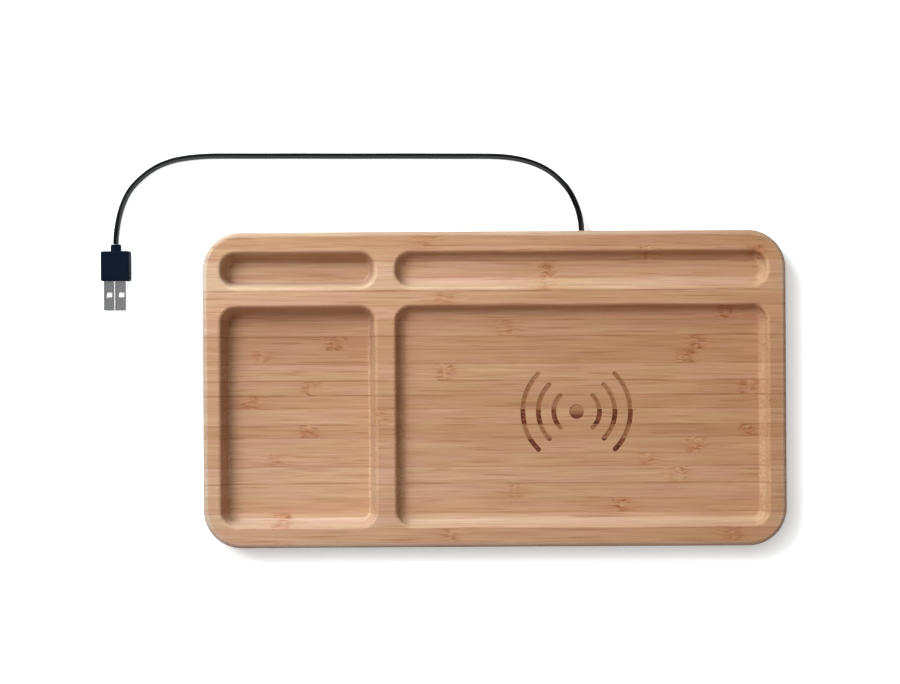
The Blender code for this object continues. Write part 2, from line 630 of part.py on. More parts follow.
def coil_path():
    """One wire: in from the board under the turns, up in the middle, round, and out to the board."""
    quarter = math.pi / 2
    pad_z = BOARD_TOP + SEAT_GAP + COIL_WIRE_DIAMETER / 2
    under_z = FERRITE_BOTTOM + COIL_WIRE_DIAMETER / 2
    edge_y = FERRITE_DIAMETER / 2 + LEAD_EDGE_CLEARANCE
    lead_x = LEAD_OFFSET
    turn_y = math.sqrt(LEAD_CLIMB_RADIUS ** 2 - (lead_x - LEAD_TURN_RADIUS) ** 2)

    path = [(lead_x, edge_y + LEAD_PAD_LENGTH, pad_z), (lead_x, edge_y + LEAD_EDGE_CLEARANCE / 2, pad_z),
            (lead_x, edge_y, under_z)]
    inward = np.linspace(edge_y - LEAD_EDGE_CLEARANCE, turn_y + LEAD_TURN_RADIUS, LEAD_POINTS)
    path += [(lead_x, y, under_z) for y in inward]
    bend = arc_points((lead_x - LEAD_TURN_RADIUS, turn_y + LEAD_TURN_RADIUS), LEAD_TURN_RADIUS,
                      0, -quarter, LEAD_BEND_POINTS)
    path += [(x, y, under_z) for x, y in bend[1:]]

    step = math.tau / COIL_POINTS_PER_TURN
    start = quarter
    for i in range(1, int(round(COIL_CLIMB_ANGLE / step)) + 1):
        share = (1 - math.cos(math.pi * i * step / COIL_CLIMB_ANGLE)) / 2
        angle = start + i * step
        path.append((LEAD_CLIMB_RADIUS * math.cos(angle), LEAD_CLIMB_RADIUS * math.sin(angle),
                     under_z + (COIL_HEIGHT - under_z) * share))
    first = start + COIL_CLIMB_ANGLE
    last = start + COIL_TURNS * math.tau
    count = int(round((last - first) / step))
    for i in range(1, count + 1):
        angle = first + i * step
        radius = COIL_INNER_RADIUS + COIL_PITCH * (angle - start) / math.tau
        ease = min(1.0, i * step / COIL_CLIMB_ANGLE)
        ease = (1 - math.cos(math.pi * ease)) / 2
        radius = LEAD_CLIMB_RADIUS + (radius - LEAD_CLIMB_RADIUS) * ease
        path.append((radius * math.cos(angle), radius * math.sin(angle), COIL_HEIGHT))

    outer = COIL_INNER_RADIUS + COIL_PITCH * COIL_TURNS
    leave = arc_points((-LEAD_TURN_RADIUS, outer + LEAD_TURN_RADIUS), LEAD_TURN_RADIUS,
                       -quarter, -math.pi, LEAD_BEND_POINTS)
    path += [(x, y, COIL_HEIGHT) for x, y in leave[1:]]
    out_x = leave[-1][0]
    out_y = max(edge_y, leave[-1][1] + LEAD_EDGE_CLEARANCE / 2)
    path += [(out_x, out_y, COIL_HEIGHT), (out_x, out_y + LEAD_EDGE_CLEARANCE / 2, pad_z),
             (out_x, edge_y + LEAD_PAD_LENGTH, pad_z)]
    return [(COIL_X + x, COIL_Y + y, z) for x, y, z in path]


def least_gap(points, diameter):
    """The smallest gap between stretches of one tube that are not next to each other along it."""
    dense = []
    for a, b in zip(points, points[1:]):
        a, b = np.array(a), np.array(b)
        count = max(2, int(np.linalg.norm(b - a) / (diameter * SELF_TEST_STEP)))
        dense += [a + (b - a) * i / count for i in range(count)]
    dense = np.array(dense)
    along = np.concatenate([[0], np.cumsum(np.linalg.norm(np.diff(dense, axis=0), axis=1))])
    gap = math.inf
    for i in range(len(dense)):
        far = np.abs(along - along[i]) > SELF_TEST_SPAN * diameter
        if far.any():
            gap = min(gap, np.linalg.norm(dense[far] - dense[i], axis=1).min() - diameter)
    return gap


def make_coil():
    points = coil_path()
    tube_part("coil", points, COIL_WIRE_DIAMETER, "copper", bevel_resolution=1)
    gap = least_gap(points, COIL_WIRE_DIAMETER)
    print(f"coil: {COIL_TURNS} turns, least gap to itself {gap * 1000:.2f} mm")


def make_clamp():
    """A saddle that presses the cable's jacket against the bay's ceiling."""
    height = CLAMP_TOP - CLAMP_BOTTOM
    mesh = block_mesh("cable_clamp", (CLAMP_LENGTH, CLAMP_WIDTH, height), CLAMP_CORNER_RADIUS)
    clamp = add_part("cable_clamp", mesh, "spacer_nylon", (EXIT_X, CLAMP_Y, CLAMP_BOTTOM + height / 2))
    radius = CABLE_DIAMETER / 2 + SEAT_GAP
    cylinder_cut(clamp, "clamp_groove", radius, CLAMP_Y - CLAMP_WIDTH, CLAMP_Y + CLAMP_WIDTH,
                 (EXIT_X, 0, CABLE_HEIGHT), (-math.pi / 2, 0, 0), BORE_SEGMENTS)
    mouth_height = CLAMP_TOP - CABLE_HEIGHT + CUT_OVERRUN
    mouth = block_mesh("clamp_mouth", (2 * radius, 2 * CLAMP_WIDTH, mouth_height))
    cut(clamp, add_cutter("clamp_mouth", mouth, (EXIT_X, CLAMP_Y, CABLE_HEIGHT + mouth_height / 2)))
    hole = CLAMP_SCREW_DIAMETER / 2 + SEAT_GAP
    head = CLAMP_SCREW_HEAD_DIAMETER / 2 + SEAT_GAP
    for i, (x, y) in enumerate(clamp_screw_places(), 1):
        cylinder_cut(clamp, f"clamp_hole_{i}", hole, CLAMP_BOTTOM - CUT_OVERRUN, CLAMP_TOP + CUT_OVERRUN,
                     (x, y, 0))
        cylinder_cut(clamp, f"clamp_sink_{i}", head, CLAMP_BOTTOM - CUT_OVERRUN,
                     CLAMP_BOTTOM + CLAMP_SCREW_HEAD_HEIGHT + SEAT_GAP, (x, y, 0),
                     segments=BORE_SEGMENTS)
    apply_modifiers(clamp)
    shank = CLAMP_SCREW_DIAMETER / 2
    tip = BAY_CEILING + CLAMP_SCREW_BITE - SEAT_GAP - CLAMP_BOTTOM
    profile = [(0, tip), (shank, tip - shank), (shank, CLAMP_SCREW_HEAD_HEIGHT),
               (CLAMP_SCREW_HEAD_DIAMETER / 2, CLAMP_SCREW_HEAD_HEIGHT),
               (CLAMP_SCREW_HEAD_DIAMETER / 2, 0), (0, 0)]
    for i, (x, y) in enumerate(clamp_screw_places(), 1):
        turned_part(f"clamp_screw_{i}", profile, "screw_steel", (x, y, CLAMP_BOTTOM), SCREW_SEGMENTS)


def make_grommet():
    """A rubber ring in the rear wall. Its axis is turned from Z to the way out, +Y."""
    bore = CABLE_DIAMETER / 2 + SEAT_GAP
    outer = GROMMET_DIAMETER / 2
    profile = [(bore, GROMMET_LENGTH), (outer - GROMMET_EDGE_ROUND, GROMMET_LENGTH),
               (outer, GROMMET_LENGTH - GROMMET_EDGE_ROUND), (outer, 0), (bore, 0)]
    grommet = turned_part("cable_grommet", profile, "rubber",
                          (EXIT_X, REAR_FACE - GROMMET_RECESS - GROMMET_LENGTH, CABLE_HEIGHT),
                          closed=True)
    grommet.rotation_euler = (-math.pi / 2, 0, 0)


def make_inner_cable():
    """The stretch of cable inside the tray, and the two wires that leave its jacket."""
    jacket_end = CLAMP_Y - CLAMP_WIDTH / 2 - JACKET_OVERHANG
    path = [(EXIT_X, REAR_FACE - GROMMET_RECESS, CABLE_HEIGHT), (EXIT_X, jacket_end, CABLE_HEIGHT)]
    tube_part("inner_cable", path, CABLE_DIAMETER, "cable_jacket")
    wire_z = BOARD_BOTTOM - SEAT_GAP - WIRE_DIAMETER / 2
    board_edge = COIL_Y + BOARD_WIDTH / 2
    start = jacket_end - SEAT_GAP
    end = board_edge - WIRE_LAP
    for name, side, mat_name in (("supply_wire", 1, "wire_red"), ("ground_wire", -1, "wire_black")):
        near = side * (WIRE_DIAMETER / 2 + SEAT_GAP)
        far = side * WIRE_SPREAD / 2
        points = []
        for share in np.linspace(0, 1, WIRE_POINTS):
            ease = (1 - math.cos(math.pi * min(1.0, share / WIRE_BEND_SHARE))) / 2
            points.append((EXIT_X + near + (far - near) * ease, start + (end - start) * share,
                           CABLE_HEIGHT + (wire_z - CABLE_HEIGHT) * ease))
        tube_part(name, points, WIRE_DIAMETER, mat_name, bevel_resolution=1)


def smooth_route(points, count):
    """Evenly spaced points on a Catmull-Rom curve through the route's own points."""
    pts = [Vector(p) for p in points]
    pts = [pts[0] * 2 - pts[1]] + pts + [pts[-1] * 2 - pts[-2]]
    dense = []
    for a, b, c, d in zip(pts, pts[1:], pts[2:], pts[3:]):
        for i in range(ROUTE_STEPS):
            t = i / ROUTE_STEPS
            dense.append(0.5 * (2 * b + (c - a) * t + (2 * a - 5 * b + 4 * c - d) * t ** 2
                                + (3 * b - a - 3 * c + d) * t ** 3))
    dense.append(pts[-2])
    along = [0.0]
    for a, b in zip(dense, dense[1:]):
        along.append(along[-1] + (b - a).length)
    columns = np.array(dense).T
    targets = np.linspace(0, along[-1], count)
    return list(zip(*(np.interp(targets, along, column) for column in columns))), along[-1]


def plug_height():
    """The height of the plug's axis when its rolled grip rests on one rounded edge."""
    across = PLUG_BODY_WIDTH / 2 - PLUG_BODY_ROUND
    up = PLUG_BODY_HEIGHT / 2 - PLUG_BODY_ROUND
    return up * math.cos(PLUG_ROLL) + across * math.sin(PLUG_ROLL) + PLUG_BODY_ROUND


def cable_route():
    """The free cable from the rear face to the plug: it drops to the desk and lies on it."""
    drop = [CABLE_LIE_HEIGHT + (CABLE_HEIGHT - CABLE_LIE_HEIGHT) * s for s in CABLE_DROP_SHARES]
    rise = [CABLE_LIE_HEIGHT + (plug_height() - CABLE_LIE_HEIGHT) * s for s in CABLE_RISE_SHARES]
    heights = drop + [CABLE_LIE_HEIGHT] * (len(CABLE_ROUTE) - len(drop) - len(rise)) + rise
    return [(EXIT_X + x, REAR_FACE + y, z) for (x, y), z in zip(CABLE_ROUTE, heights)]


def make_cable():
    points, length = smooth_route(cable_route(), CABLE_POINTS)
    tube_part("usb_cable", points, CABLE_DIAMETER, "cable_jacket")
    print(f"usb_cable: {length * 1000:.0f} mm long")


def make_plug():
    x, end_y, z = cable_route()[-1]
    collar_rear = end_y - SEAT_GAP
    body_rear = collar_rear - PLUG_COLLAR_LENGTH
    body_front = body_rear - PLUG_BODY_LENGTH
    shell_front = body_front - PLUG_SHELL_LENGTH
    shell_rear = body_front + PLUG_SOCKET_DEPTH - SEAT_GAP
    shell_middle = (shell_front + shell_rear) / 2
    shell_length = shell_rear - shell_front

    make_plug_body(x, z, collar_rear, body_rear, body_front)

    shell_mesh = lying_block("plug_shell", (PLUG_SHELL_WIDTH, shell_length, PLUG_SHELL_HEIGHT),
                             PLUG_SHELL_ROUND)
    shell = add_part("plug_shell", shell_mesh, "plug_steel", (x, shell_middle, z))
    inner = (PLUG_SHELL_WIDTH - 2 * PLUG_SHELL_WALL, shell_length + 2 * CUT_OVERRUN,
             PLUG_SHELL_HEIGHT - 2 * PLUG_SHELL_WALL)
    hollow = lying_block("shell_hollow", inner, PLUG_SHELL_ROUND - PLUG_SHELL_WALL)
    cut(shell, add_cutter("shell_hollow", hollow, (x, shell_middle, z)))
    window_y = shell_front + PLUG_WINDOW_FROM_MOUTH
    for i, side in enumerate((-1, 1), 1):
        window = block_mesh("window", (PLUG_WINDOW_WIDTH, PLUG_WINDOW_LENGTH,
                                       PLUG_SHELL_HEIGHT + 2 * CUT_OVERRUN))
        place = (x + side * PLUG_WINDOW_SPACING / 2, window_y, z)
        cut(shell, add_cutter(f"shell_window_{i}", window, place))
    apply_modifiers(shell)

    make_plug_inside(x, z, shell_front, shell_rear)
    axis = Matrix.Translation((x, 0, z))
    roll = axis @ Matrix.Rotation(-PLUG_ROLL, 4, "Y") @ axis.inverted()
    for piece in [part for part in PARTS.objects if part.name.startswith("plug_")]:
        piece.matrix_basis = roll @ piece.matrix_basis


def lying_block(name, size, edge_radius):
    """A box whose edges along Y are rounded."""
    bm = bmesh.new()
    bmesh.ops.create_cube(bm, size=1.0)
    bmesh.ops.scale(bm, vec=size, verts=bm.verts)
    lengthwise = [e for e in bm.edges if abs(e.verts[0].co.y - e.verts[1].co.y) > size[1] / 2]
    bmesh.ops.bevel(bm, geom=lengthwise, offset=edge_radius, segments=ROUND_SEGMENTS, profile=0.5,
                    affect="EDGES")
    mesh = bpy.data.meshes.new(name)
    bm.to_mesh(mesh)
    bm.free()
    return smooth(mesh)


def make_plug_body(x, z, collar_rear, body_rear, body_front):
    """The moulded grip, its collar round the cable, and the socket that the metal shell sits in."""
    bm = bmesh.new()
    bmesh.ops.create_cube(bm, size=1.0)
    bmesh.ops.scale(bm, vec=(PLUG_BODY_WIDTH, PLUG_BODY_LENGTH, PLUG_BODY_HEIGHT), verts=bm.verts)
    bmesh.ops.bevel(bm, geom=list(bm.edges), offset=PLUG_BODY_ROUND, segments=EDGE_SEGMENTS,
                    profile=0.5, affect="EDGES")
    mesh = bpy.data.meshes.new("plug_body")
    bm.to_mesh(mesh)
    bm.free()
    body = add_part("plug_body", smooth(mesh), "plug_plastic", (x, (body_rear + body_front) / 2, z))

    length = collar_rear - body_rear + CUT_OVERRUN
    radius = PLUG_COLLAR_DIAMETER / 2
    collar = cylinder_mesh("collar", radius, length)
    bm = bmesh.new()
    bm.from_mesh(collar)
    rim = [e for e in bm.edges if all(v.co.z > 0 for v in e.verts)]
    bmesh.ops.bevel(bm, geom=rim, offset=PLUG_COLLAR_ROUND, segments=EDGE_SEGMENTS, profile=0.5,
                    affect="EDGES")
    bm.to_mesh(collar)
    bm.free()
    tool = add_cutter("collar", collar, (x, collar_rear - length / 2, z))
    tool.rotation_euler = (-math.pi / 2, 0, 0)
    join = body.modifiers.new("Collar", "BOOLEAN")
    join.operation = "UNION"
    join.solver = "EXACT"
    join.object = tool

    socket = lying_block("socket", (PLUG_SHELL_WIDTH + 2 * SEAT_GAP, PLUG_SOCKET_DEPTH + CUT_OVERRUN,
                                    PLUG_SHELL_HEIGHT + 2 * SEAT_GAP), PLUG_SHELL_ROUND + SEAT_GAP)
    cut(body, add_cutter("shell_socket", socket,
                         (x, body_front + (PLUG_SOCKET_DEPTH - CUT_OVERRUN) / 2, z)))
    apply_modifiers(body)


def make_plug_inside(x, z, shell_front, shell_rear):
    """The white insulator with its tongue, and the four contacts under the tongue."""
    inner_half = PLUG_SHELL_HEIGHT / 2 - PLUG_SHELL_WALL - SEAT_GAP
    width = PLUG_SHELL_WIDTH - 2 * (PLUG_SHELL_WALL + SEAT_GAP)
    rear = shell_rear
    root_front = rear - PLUG_ROOT_LENGTH
    tongue_front = shell_front + PLUG_TONGUE_INSET
    tongue_under = inner_half - PLUG_TONGUE_THICKNESS
    length = rear - tongue_front
    mesh = block_mesh("plug_insulator", (width, length, 2 * inner_half))
    insulator = add_part("plug_insulator", mesh, "plug_insulator", (x, (rear + tongue_front) / 2, z))
    under_length = root_front - tongue_front + CUT_OVERRUN
    under_height = inner_half + tongue_under + CUT_OVERRUN
    under = block_mesh("under_tongue", (width + 2 * CUT_OVERRUN, under_length, under_height))
    cut(insulator, add_cutter("under_tongue", under, (x, root_front - under_length / 2,
                                                      z + tongue_under - under_height / 2)))
    apply_modifiers(insulator)

    contact_rear = root_front - SEAT_GAP
    contact_front = tongue_front + PLUG_CONTACT_INSET
    middle = (contact_rear + contact_front) / 2
    contact_z = z + tongue_under - SEAT_GAP - PLUG_CONTACT_THICKNESS / 2
    for i in range(PLUG_CONTACT_COUNT):
        size = (PLUG_CONTACT_WIDTH, contact_rear - contact_front, PLUG_CONTACT_THICKNESS)
        contact = block_mesh(f"plug_contact_{i + 1}", size)
        add_part(f"plug_contact_{i + 1}", contact, "gold",
                 (x + (i - (PLUG_CONTACT_COUNT - 1) / 2) * PLUG_CONTACT_PITCH, middle, contact_z))


make_tray()
make_feet()
make_cover()
make_cover_screws()
make_board()
make_board_fixings()
make_board_parts()
make_pad()
make_ferrite()
make_coil()
make_clamp()
make_grommet()
make_inner_cable()
make_cable()
make_plug()
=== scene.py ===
"""Visual model of a bamboo desk tray with a built-in wireless charging module and a USB cable.

Lengths are in metres, in the CAD's frame: X along the tray, Y to its rear, Z up from the desk.
Inside the materials, places are in millimetres.
"""

import math

import bmesh
import bpy
import numpy as np
from mathutils import Matrix, Vector


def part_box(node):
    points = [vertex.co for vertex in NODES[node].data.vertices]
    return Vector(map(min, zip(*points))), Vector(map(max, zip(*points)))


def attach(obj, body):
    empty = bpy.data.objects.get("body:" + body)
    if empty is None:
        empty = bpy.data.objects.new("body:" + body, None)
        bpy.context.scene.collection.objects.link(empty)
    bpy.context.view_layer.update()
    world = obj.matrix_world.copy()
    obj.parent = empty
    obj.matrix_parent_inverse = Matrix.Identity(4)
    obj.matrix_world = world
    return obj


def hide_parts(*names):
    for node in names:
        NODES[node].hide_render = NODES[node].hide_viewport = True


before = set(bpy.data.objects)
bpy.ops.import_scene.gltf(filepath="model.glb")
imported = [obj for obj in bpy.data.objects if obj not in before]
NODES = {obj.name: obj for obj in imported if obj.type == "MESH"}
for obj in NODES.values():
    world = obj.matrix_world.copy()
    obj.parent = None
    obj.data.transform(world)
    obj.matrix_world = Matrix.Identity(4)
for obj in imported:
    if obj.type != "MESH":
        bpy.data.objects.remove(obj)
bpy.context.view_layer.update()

# Camera: straight above the tray, with a long lens
CAMERA_PLACE = (-0.02203, 0.02351, 2.00874)
CAMERA_TURN = math.radians(-0.33)
CAMERA_LENS = 160
CAMERA_SENSOR = 36

# Clearances
SEAT_GAP = 0.0003
CUT_OVERRUN = 0.002

# Tray
TRAY_LOW, TRAY_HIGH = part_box("tray")
TRAY_CORNER_RADIUS = 0.019
TRAY_EDGE_ROUND = 0.0023
LEFT_COLUMN = (-0.1377, -0.0576)
RIGHT_COLUMN = (-0.0505, 0.1374)
SLOT_ROW = (0.0494, 0.0696)
TRAY_ROW = (-0.0695, 0.0427)
LEFT_POCKET_DEPTH = 0.0135
RIGHT_POCKET_DEPTH = 0.0080
POCKET_RIM_RADIUS = 0.0091
POCKET_EDGE_ROUND = 0.0015
POCKET_FEET = {LEFT_POCKET_DEPTH: (0.0057, 0.0014), RIGHT_POCKET_DEPTH: (0.0062, 0.0036)}
POCKET_FOOT_RISE = 0.42
TRAY_CORNER_SEGMENTS = 18
POCKET_CORNER_SEGMENTS = 14
POCKET_FOOT_SEGMENTS = 6
RIM_SEGMENTS = 6
RIM_ANGLE = math.radians(40)
SMOOTH_ANGLE = math.radians(35)

# Charging mark, burnt into the floor of the charging pocket
MARK_CENTRE = (0.04095, -0.01155)
MARK_DEPTH = 0.00025
MARK_DOT_RADIUS = 0.00365
MARK_ARC_RADII = (0.0114, 0.0191, 0.0268)
MARK_ARC_WIDTH = 0.0024
MARK_ARC_HALF_ANGLE = math.radians(44.5)
MARK_STEPS = 40
MARK_CAP_STEPS = 8

# Hollows in the underside
MODULE_CENTRE = (0.04095, -0.01185)
RECESS_SIZE = 0.0640
RECESS_CORNER_RADIUS = 0.0050
RECESS_CEILING = 0.0104
BAY_SIZE = (0.0260, 0.0120)
BAY_CEILING = 0.0084
COVER_CORNER_RADIUS = 0.0030
LEDGE_HEIGHT = 0.0039
EXIT_X = 0.04415
CABLE_HEIGHT = 0.0066
CABLE_BORE_RADIUS = 0.0018
GROMMET_BORE_RADIUS = 0.0036
GROMMET_BORE_DEPTH = 0.0055
GROMMET_SEGMENTS = 48
BORE_SEGMENTS = 32
CUTTER_CORNER_SEGMENTS = 6
# Holes from below at the numbered nodes: radius, height of the face they start from, depth and sides
HOLES = {
    "cover_screw": (0.0014, LEDGE_HEIGHT, 0.0060, 24),
    "board_screw": (0.0013, RECESS_CEILING, 0.0019, 24),
    "clamp_screw": (0.0012, BAY_CEILING, 0.0040, 24),
    "foot": (0.0053, TRAY_LOW.z, 0.0008, 48),
}

# Cable: the same route as in the CAD, from the way out of the rear face, and its heights
CABLE_DIAMETER = 0.00299
CABLE_LIE_HEIGHT = 0.00155
CABLE_DROP_SHARES = (1.0, 0.94, 0.74, 0.42, 0.15, 0.02)
CABLE_RISE_SHARES = (0.05, 0.35, 0.8, 1.0)
CABLE_ROUTE = [
    (0.0000, 0.0003), (-0.0003, 0.0040), (-0.0011, 0.0086), (-0.0028, 0.0140), (-0.0055, 0.0197),
    (-0.0092, 0.0246), (-0.0152, 0.0300), (-0.0227, 0.0341), (-0.0315, 0.0367), (-0.0404, 0.0379),
    (-0.0503, 0.0382), (-0.0654, 0.0383), (-0.0905, 0.0385), (-0.1156, 0.0386), (-0.1407, 0.0388),
    (-0.1632, 0.0389), (-0.1784, 0.0390), (-0.1884, 0.0389), (-0.1984, 0.0380), (-0.2060, 0.0364),
    (-0.2135, 0.0333), (-0.2204, 0.0284), (-0.2260, 0.0225), (-0.2293, 0.0165), (-0.2314, 0.0104),
    (-0.2326, 0.0044), (-0.2332, -0.0010), (-0.2333, -0.0048),
]
CABLE_POINTS = 200
ROUTE_STEPS = 24
CABLE_ROUNDNESS = 6

# Plug
PLUG_ROLL = math.radians(7)
PLUG_BODY = (0.0145, 0.0151, 0.0074)
PLUG_BODY_ROUND = 0.0009
PLUG_COLLAR_RADIUS = 0.0027
PLUG_COLLAR_LENGTH = 0.0034
PLUG_COLLAR_ROUND = 0.0008
PLUG_SHELL = (0.0120, 0.0147, 0.0045)
PLUG_SHELL_WALL = 0.00035
PLUG_SHELL_ROUND = 0.0006
PLUG_SOCKET_DEPTH = 0.0025
PLUG_WINDOW = (0.0030, 0.0026)
PLUG_WINDOW_ROUND = 0.0004
PLUG_WINDOW_SPACING = 0.0061
PLUG_WINDOW_FROM_MOUTH = 0.0080
PLUG_SEAM_WIDTH = 0.00015
PLUG_DIP_RADIUS = 0.0006
PLUG_DIP_DEPTH = 0.00014
PLUG_SHELL_EDGE_ROUND = 0.00012
PLUG_SEGMENTS = 5
PLUG_COLLAR_SEGMENTS = 40
PLUG_WINDOW_SEGMENTS = 3
PLUG_DIP_SEGMENTS = 48
PLUG_SHELL_EDGE_SEGMENTS = 2

# Feet, cover and grommet
FOOT_EDGE_ROUND = 0.0005
FOOT_GROOVE = (0.0029, 0.0032, 0.0036, 0.0039)
FOOT_GROOVE_DEPTH = 0.0003
COVER_CORNER_SEGMENTS = 8
COVER_EDGE_ROUND = 0.00035
COVER_EDGE_SEGMENTS = 3
COVER_HOLE_RADIUS = 0.0014
COVER_SINK_RADIUS = 0.0025
COVER_SINK_DEPTH = 0.0012
COVER_HOLE_SEGMENTS = 40
GROMMET_ROUND = 0.0008
TURNED_SEGMENTS = 64
ARC_STEPS = 5

# Screws: the head's height and the shank's radius
SCREWS = {
    "cover_screw": (0.0012, 0.0011),
    "board_screw": (0.0011, 0.0010),
    "clamp_screw": (0.0012, 0.0009),
}
SCREW_LIP_SHARE = 0.1
SCREW_DOME_SHARE = 0.6
SCREW_SEGMENTS = 32
THREAD_PITCH = 0.0005
THREAD_STEPS = 5
THREAD_SHARE = 0.20
CROSS_WIDTH = 0.00035
CROSS_DEPTH_SHARE = 0.55
CROSS_LENGTH_SHARE = 1.15

# Coil, wound from one stranded wire. Its own X and Y are about its middle.
COIL_HEIGHT = 0.00975
COIL_PAD_HEIGHT = 0.00745
COIL_UNDER_HEIGHT = 0.00825
COIL_WIRE_RADIUS = 0.00035
COIL_INNER_RADIUS = 0.0108
COIL_PITCH = 0.00118
COIL_TURNS = 10
COIL_POINTS_PER_TURN = 24
COIL_CLIMB_ANGLE = math.pi / 3
COIL_CLIMB_RADIUS = 0.0090
COIL_EDGE = 0.0250
COIL_LEAD_X = 0.0020
COIL_BEND_RADIUS = 0.0020
COIL_PAD_LENGTH = 0.0020
COIL_EDGE_STEP = 0.0005
COIL_LEAD_POINTS = 7
COIL_BEND_POINTS = 5
COIL_RINGS = 1700
COIL_TWIST = math.tau / 0.010
COIL_SECTION_SHARES = (1.0, 0.85) * 6
COIL_SMOOTH_ANGLE = math.radians(75)

# Cable and wires inside the tray
INNER_REAR = 0.0783
JACKET_END = 0.02115
JACKET_ROUND = 0.0004
JACKET_SIDES = 32
WIRE_RADIUS = 0.00055
WIRE_CORE_RADIUS = 0.00032
WIRE_END = 0.01115
WIRE_END_HEIGHT = 0.00475
WIRE_SPREAD = 0.0040
WIRE_BARE_LENGTH = 0.0018
WIRE_BEND_SHARE = 0.62
WIRE_POINTS = 60
WIRE_SIDES = 20


# Meshes

def new_piece(name, data, location=(0, 0, 0), rotation=(0, 0, 0)):
    obj = bpy.data.objects.new(name, data)
    obj.location = location
    obj.rotation_euler = rotation
    bpy.context.scene.collection.objects.link(obj)
    return obj


def mesh_from(bm, name):
    mesh = bpy.data.meshes.new(name)
    bm.to_mesh(mesh)
    bm.free()
    return mesh


def block(name, size, upright=0.0, upright_segments=4, axis=2):
    """A box about its own middle, with the edges along one axis rounded."""
    bm = bmesh.new()
    bmesh.ops.create_cube(bm, size=1.0)
    bmesh.ops.scale(bm, vec=size, verts=bm.verts)
    if upright > 0:
        along = [e for e in bm.edges if abs(e.verts[0].co[axis] - e.verts[1].co[axis]) > size[axis] / 2]
        bmesh.ops.bevel(bm, geom=along, offset=upright, segments=upright_segments, profile=0.5,
                        affect="EDGES")
    return mesh_from(bm, name)


def cylinder(name, radius, height, segments, top_radius=None):
    bm = bmesh.new()
    bmesh.ops.create_cone(bm, cap_ends=True, segments=segments, radius1=radius,
                          radius2=radius if top_radius is None else top_radius, depth=height)
    return mesh_from(bm, name)


def rod(name, radius, front, rear, x, z, segments):
    """A cylinder along Y."""
    return new_piece(name, cylinder(name, radius, rear - front, segments), (x, (front + rear) / 2, z),
                     (-math.pi / 2, 0, 0))


def loft(name, rings):
    """A closed form through rings of points, each anticlockwise, from the lowest ring up."""
    bm = bmesh.new()
    rows = [[bm.verts.new(point) for point in ring] for ring in rings]
    for low, high in zip(rows, rows[1:]):
        for i in range(len(low)):
            j = (i + 1) % len(low)
            bm.faces.new((low[i], low[j], high[j], high[i]))
    bm.faces.new(rows[0][::-1])
    bm.faces.new(rows[-1])
    return mesh_from(bm, name)


def prism(name, outline, low, high):
    """A flat outline, given anticlockwise, drawn up from one height to another."""
    return loft(name, [[(x, y, z) for x, y in outline] for z in (low, high)])


def polar(radius, angle, centre=(0.0, 0.0)):
    return centre[0] + radius * math.cos(angle), centre[1] + radius * math.sin(angle)


def arc(centre, radius, start, end, steps=ARC_STEPS):
    """Points on an arc between two angles in quarter turns."""
    return [polar(radius, turn * math.pi / 2, centre) for turn in np.linspace(start, end, steps + 1)]


def round_rectangle(half_x, half_y, radius, segments):
    """An anticlockwise outline about the origin."""
    outline = []
    for quarter, (across, up) in enumerate(((1, 1), (-1, 1), (-1, -1), (1, -1))):
        centre = (across * (half_x - radius), up * (half_y - radius))
        outline += arc(centre, radius, quarter, quarter + 1, segments)
    return outline


def ease(share):
    """0 to 1 with a soft start and end."""
    return (1 - math.cos(math.pi * min(1.0, max(0.0, share)))) / 2


def turned(name, profile, segments=TURNED_SEGMENTS, share=None):
    """A closed profile of (radius, height) points, turned about Z. Points on the axis are shared.

    share(height, turn) can make the radius smaller, as a thread does.
    """
    bm = bmesh.new()
    rings = []
    for radius, height in profile:
        ring = []
        for turn in np.arange(segments if radius else 1) / segments:
            reach = radius * (share(height, turn) if share else 1.0)
            ring.append(bm.verts.new((*polar(reach, math.tau * turn), height)))
        rings.append(ring)
    for a, b in zip(rings, rings[1:] + rings[:1]):
        for k in range(segments):
            corners = [a[k % len(a)], a[(k + 1) % len(a)], b[(k + 1) % len(b)], b[k % len(b)]]
            corners = list(dict.fromkeys(corners))
            if len(corners) > 2:
                bm.faces.new(corners)
    bmesh.ops.recalc_face_normals(bm, faces=bm.faces)
    return mesh_from(bm, name)


def swept(name, points, radii, shares, twist=0.0):
    """A closed tube along a path: a radius for each point, and a share of it for each side."""
    points = [Vector(p) for p in points]
    side = (points[1] - points[0]).orthogonal()
    rings = []
    distance = 0.0
    for i, (point, radius) in enumerate(zip(points, radii)):
        before, after = points[max(i - 1, 0)], points[min(i + 1, len(points) - 1)]
        ahead = (after - before).normalized()
        side = (side - ahead * side.dot(ahead)).normalized()
        up = ahead.cross(side)
        distance += (point - points[max(i - 1, 0)]).length
        ring = []
        for k, share in enumerate(shares):
            u, v = polar(radius * share, math.tau * k / len(shares) + twist * distance)
            ring.append(point + side * u + up * v)
        rings.append(ring)
    return loft(name, rings)


def tube(name, points, diameter, roundness):
    curve = bpy.data.curves.new(name, "CURVE")
    curve.dimensions = "3D"
    spline = curve.splines.new("POLY")
    spline.points.add(len(points) - 1)
    for slot, point in zip(spline.points, points):
        slot.co = (*point, 1.0)
    spline.use_smooth = True
    curve.bevel_depth = diameter / 2
    curve.bevel_resolution = roundness
    curve.use_fill_caps = True
    return new_piece(name, curve)


def bake(piece):
    """Replaces a piece's mesh by what its modifiers make of it."""
    depsgraph = bpy.context.evaluated_depsgraph_get()
    mesh = bpy.data.meshes.new_from_object(piece.evaluated_get(depsgraph))
    piece.modifiers.clear()
    piece.data = mesh


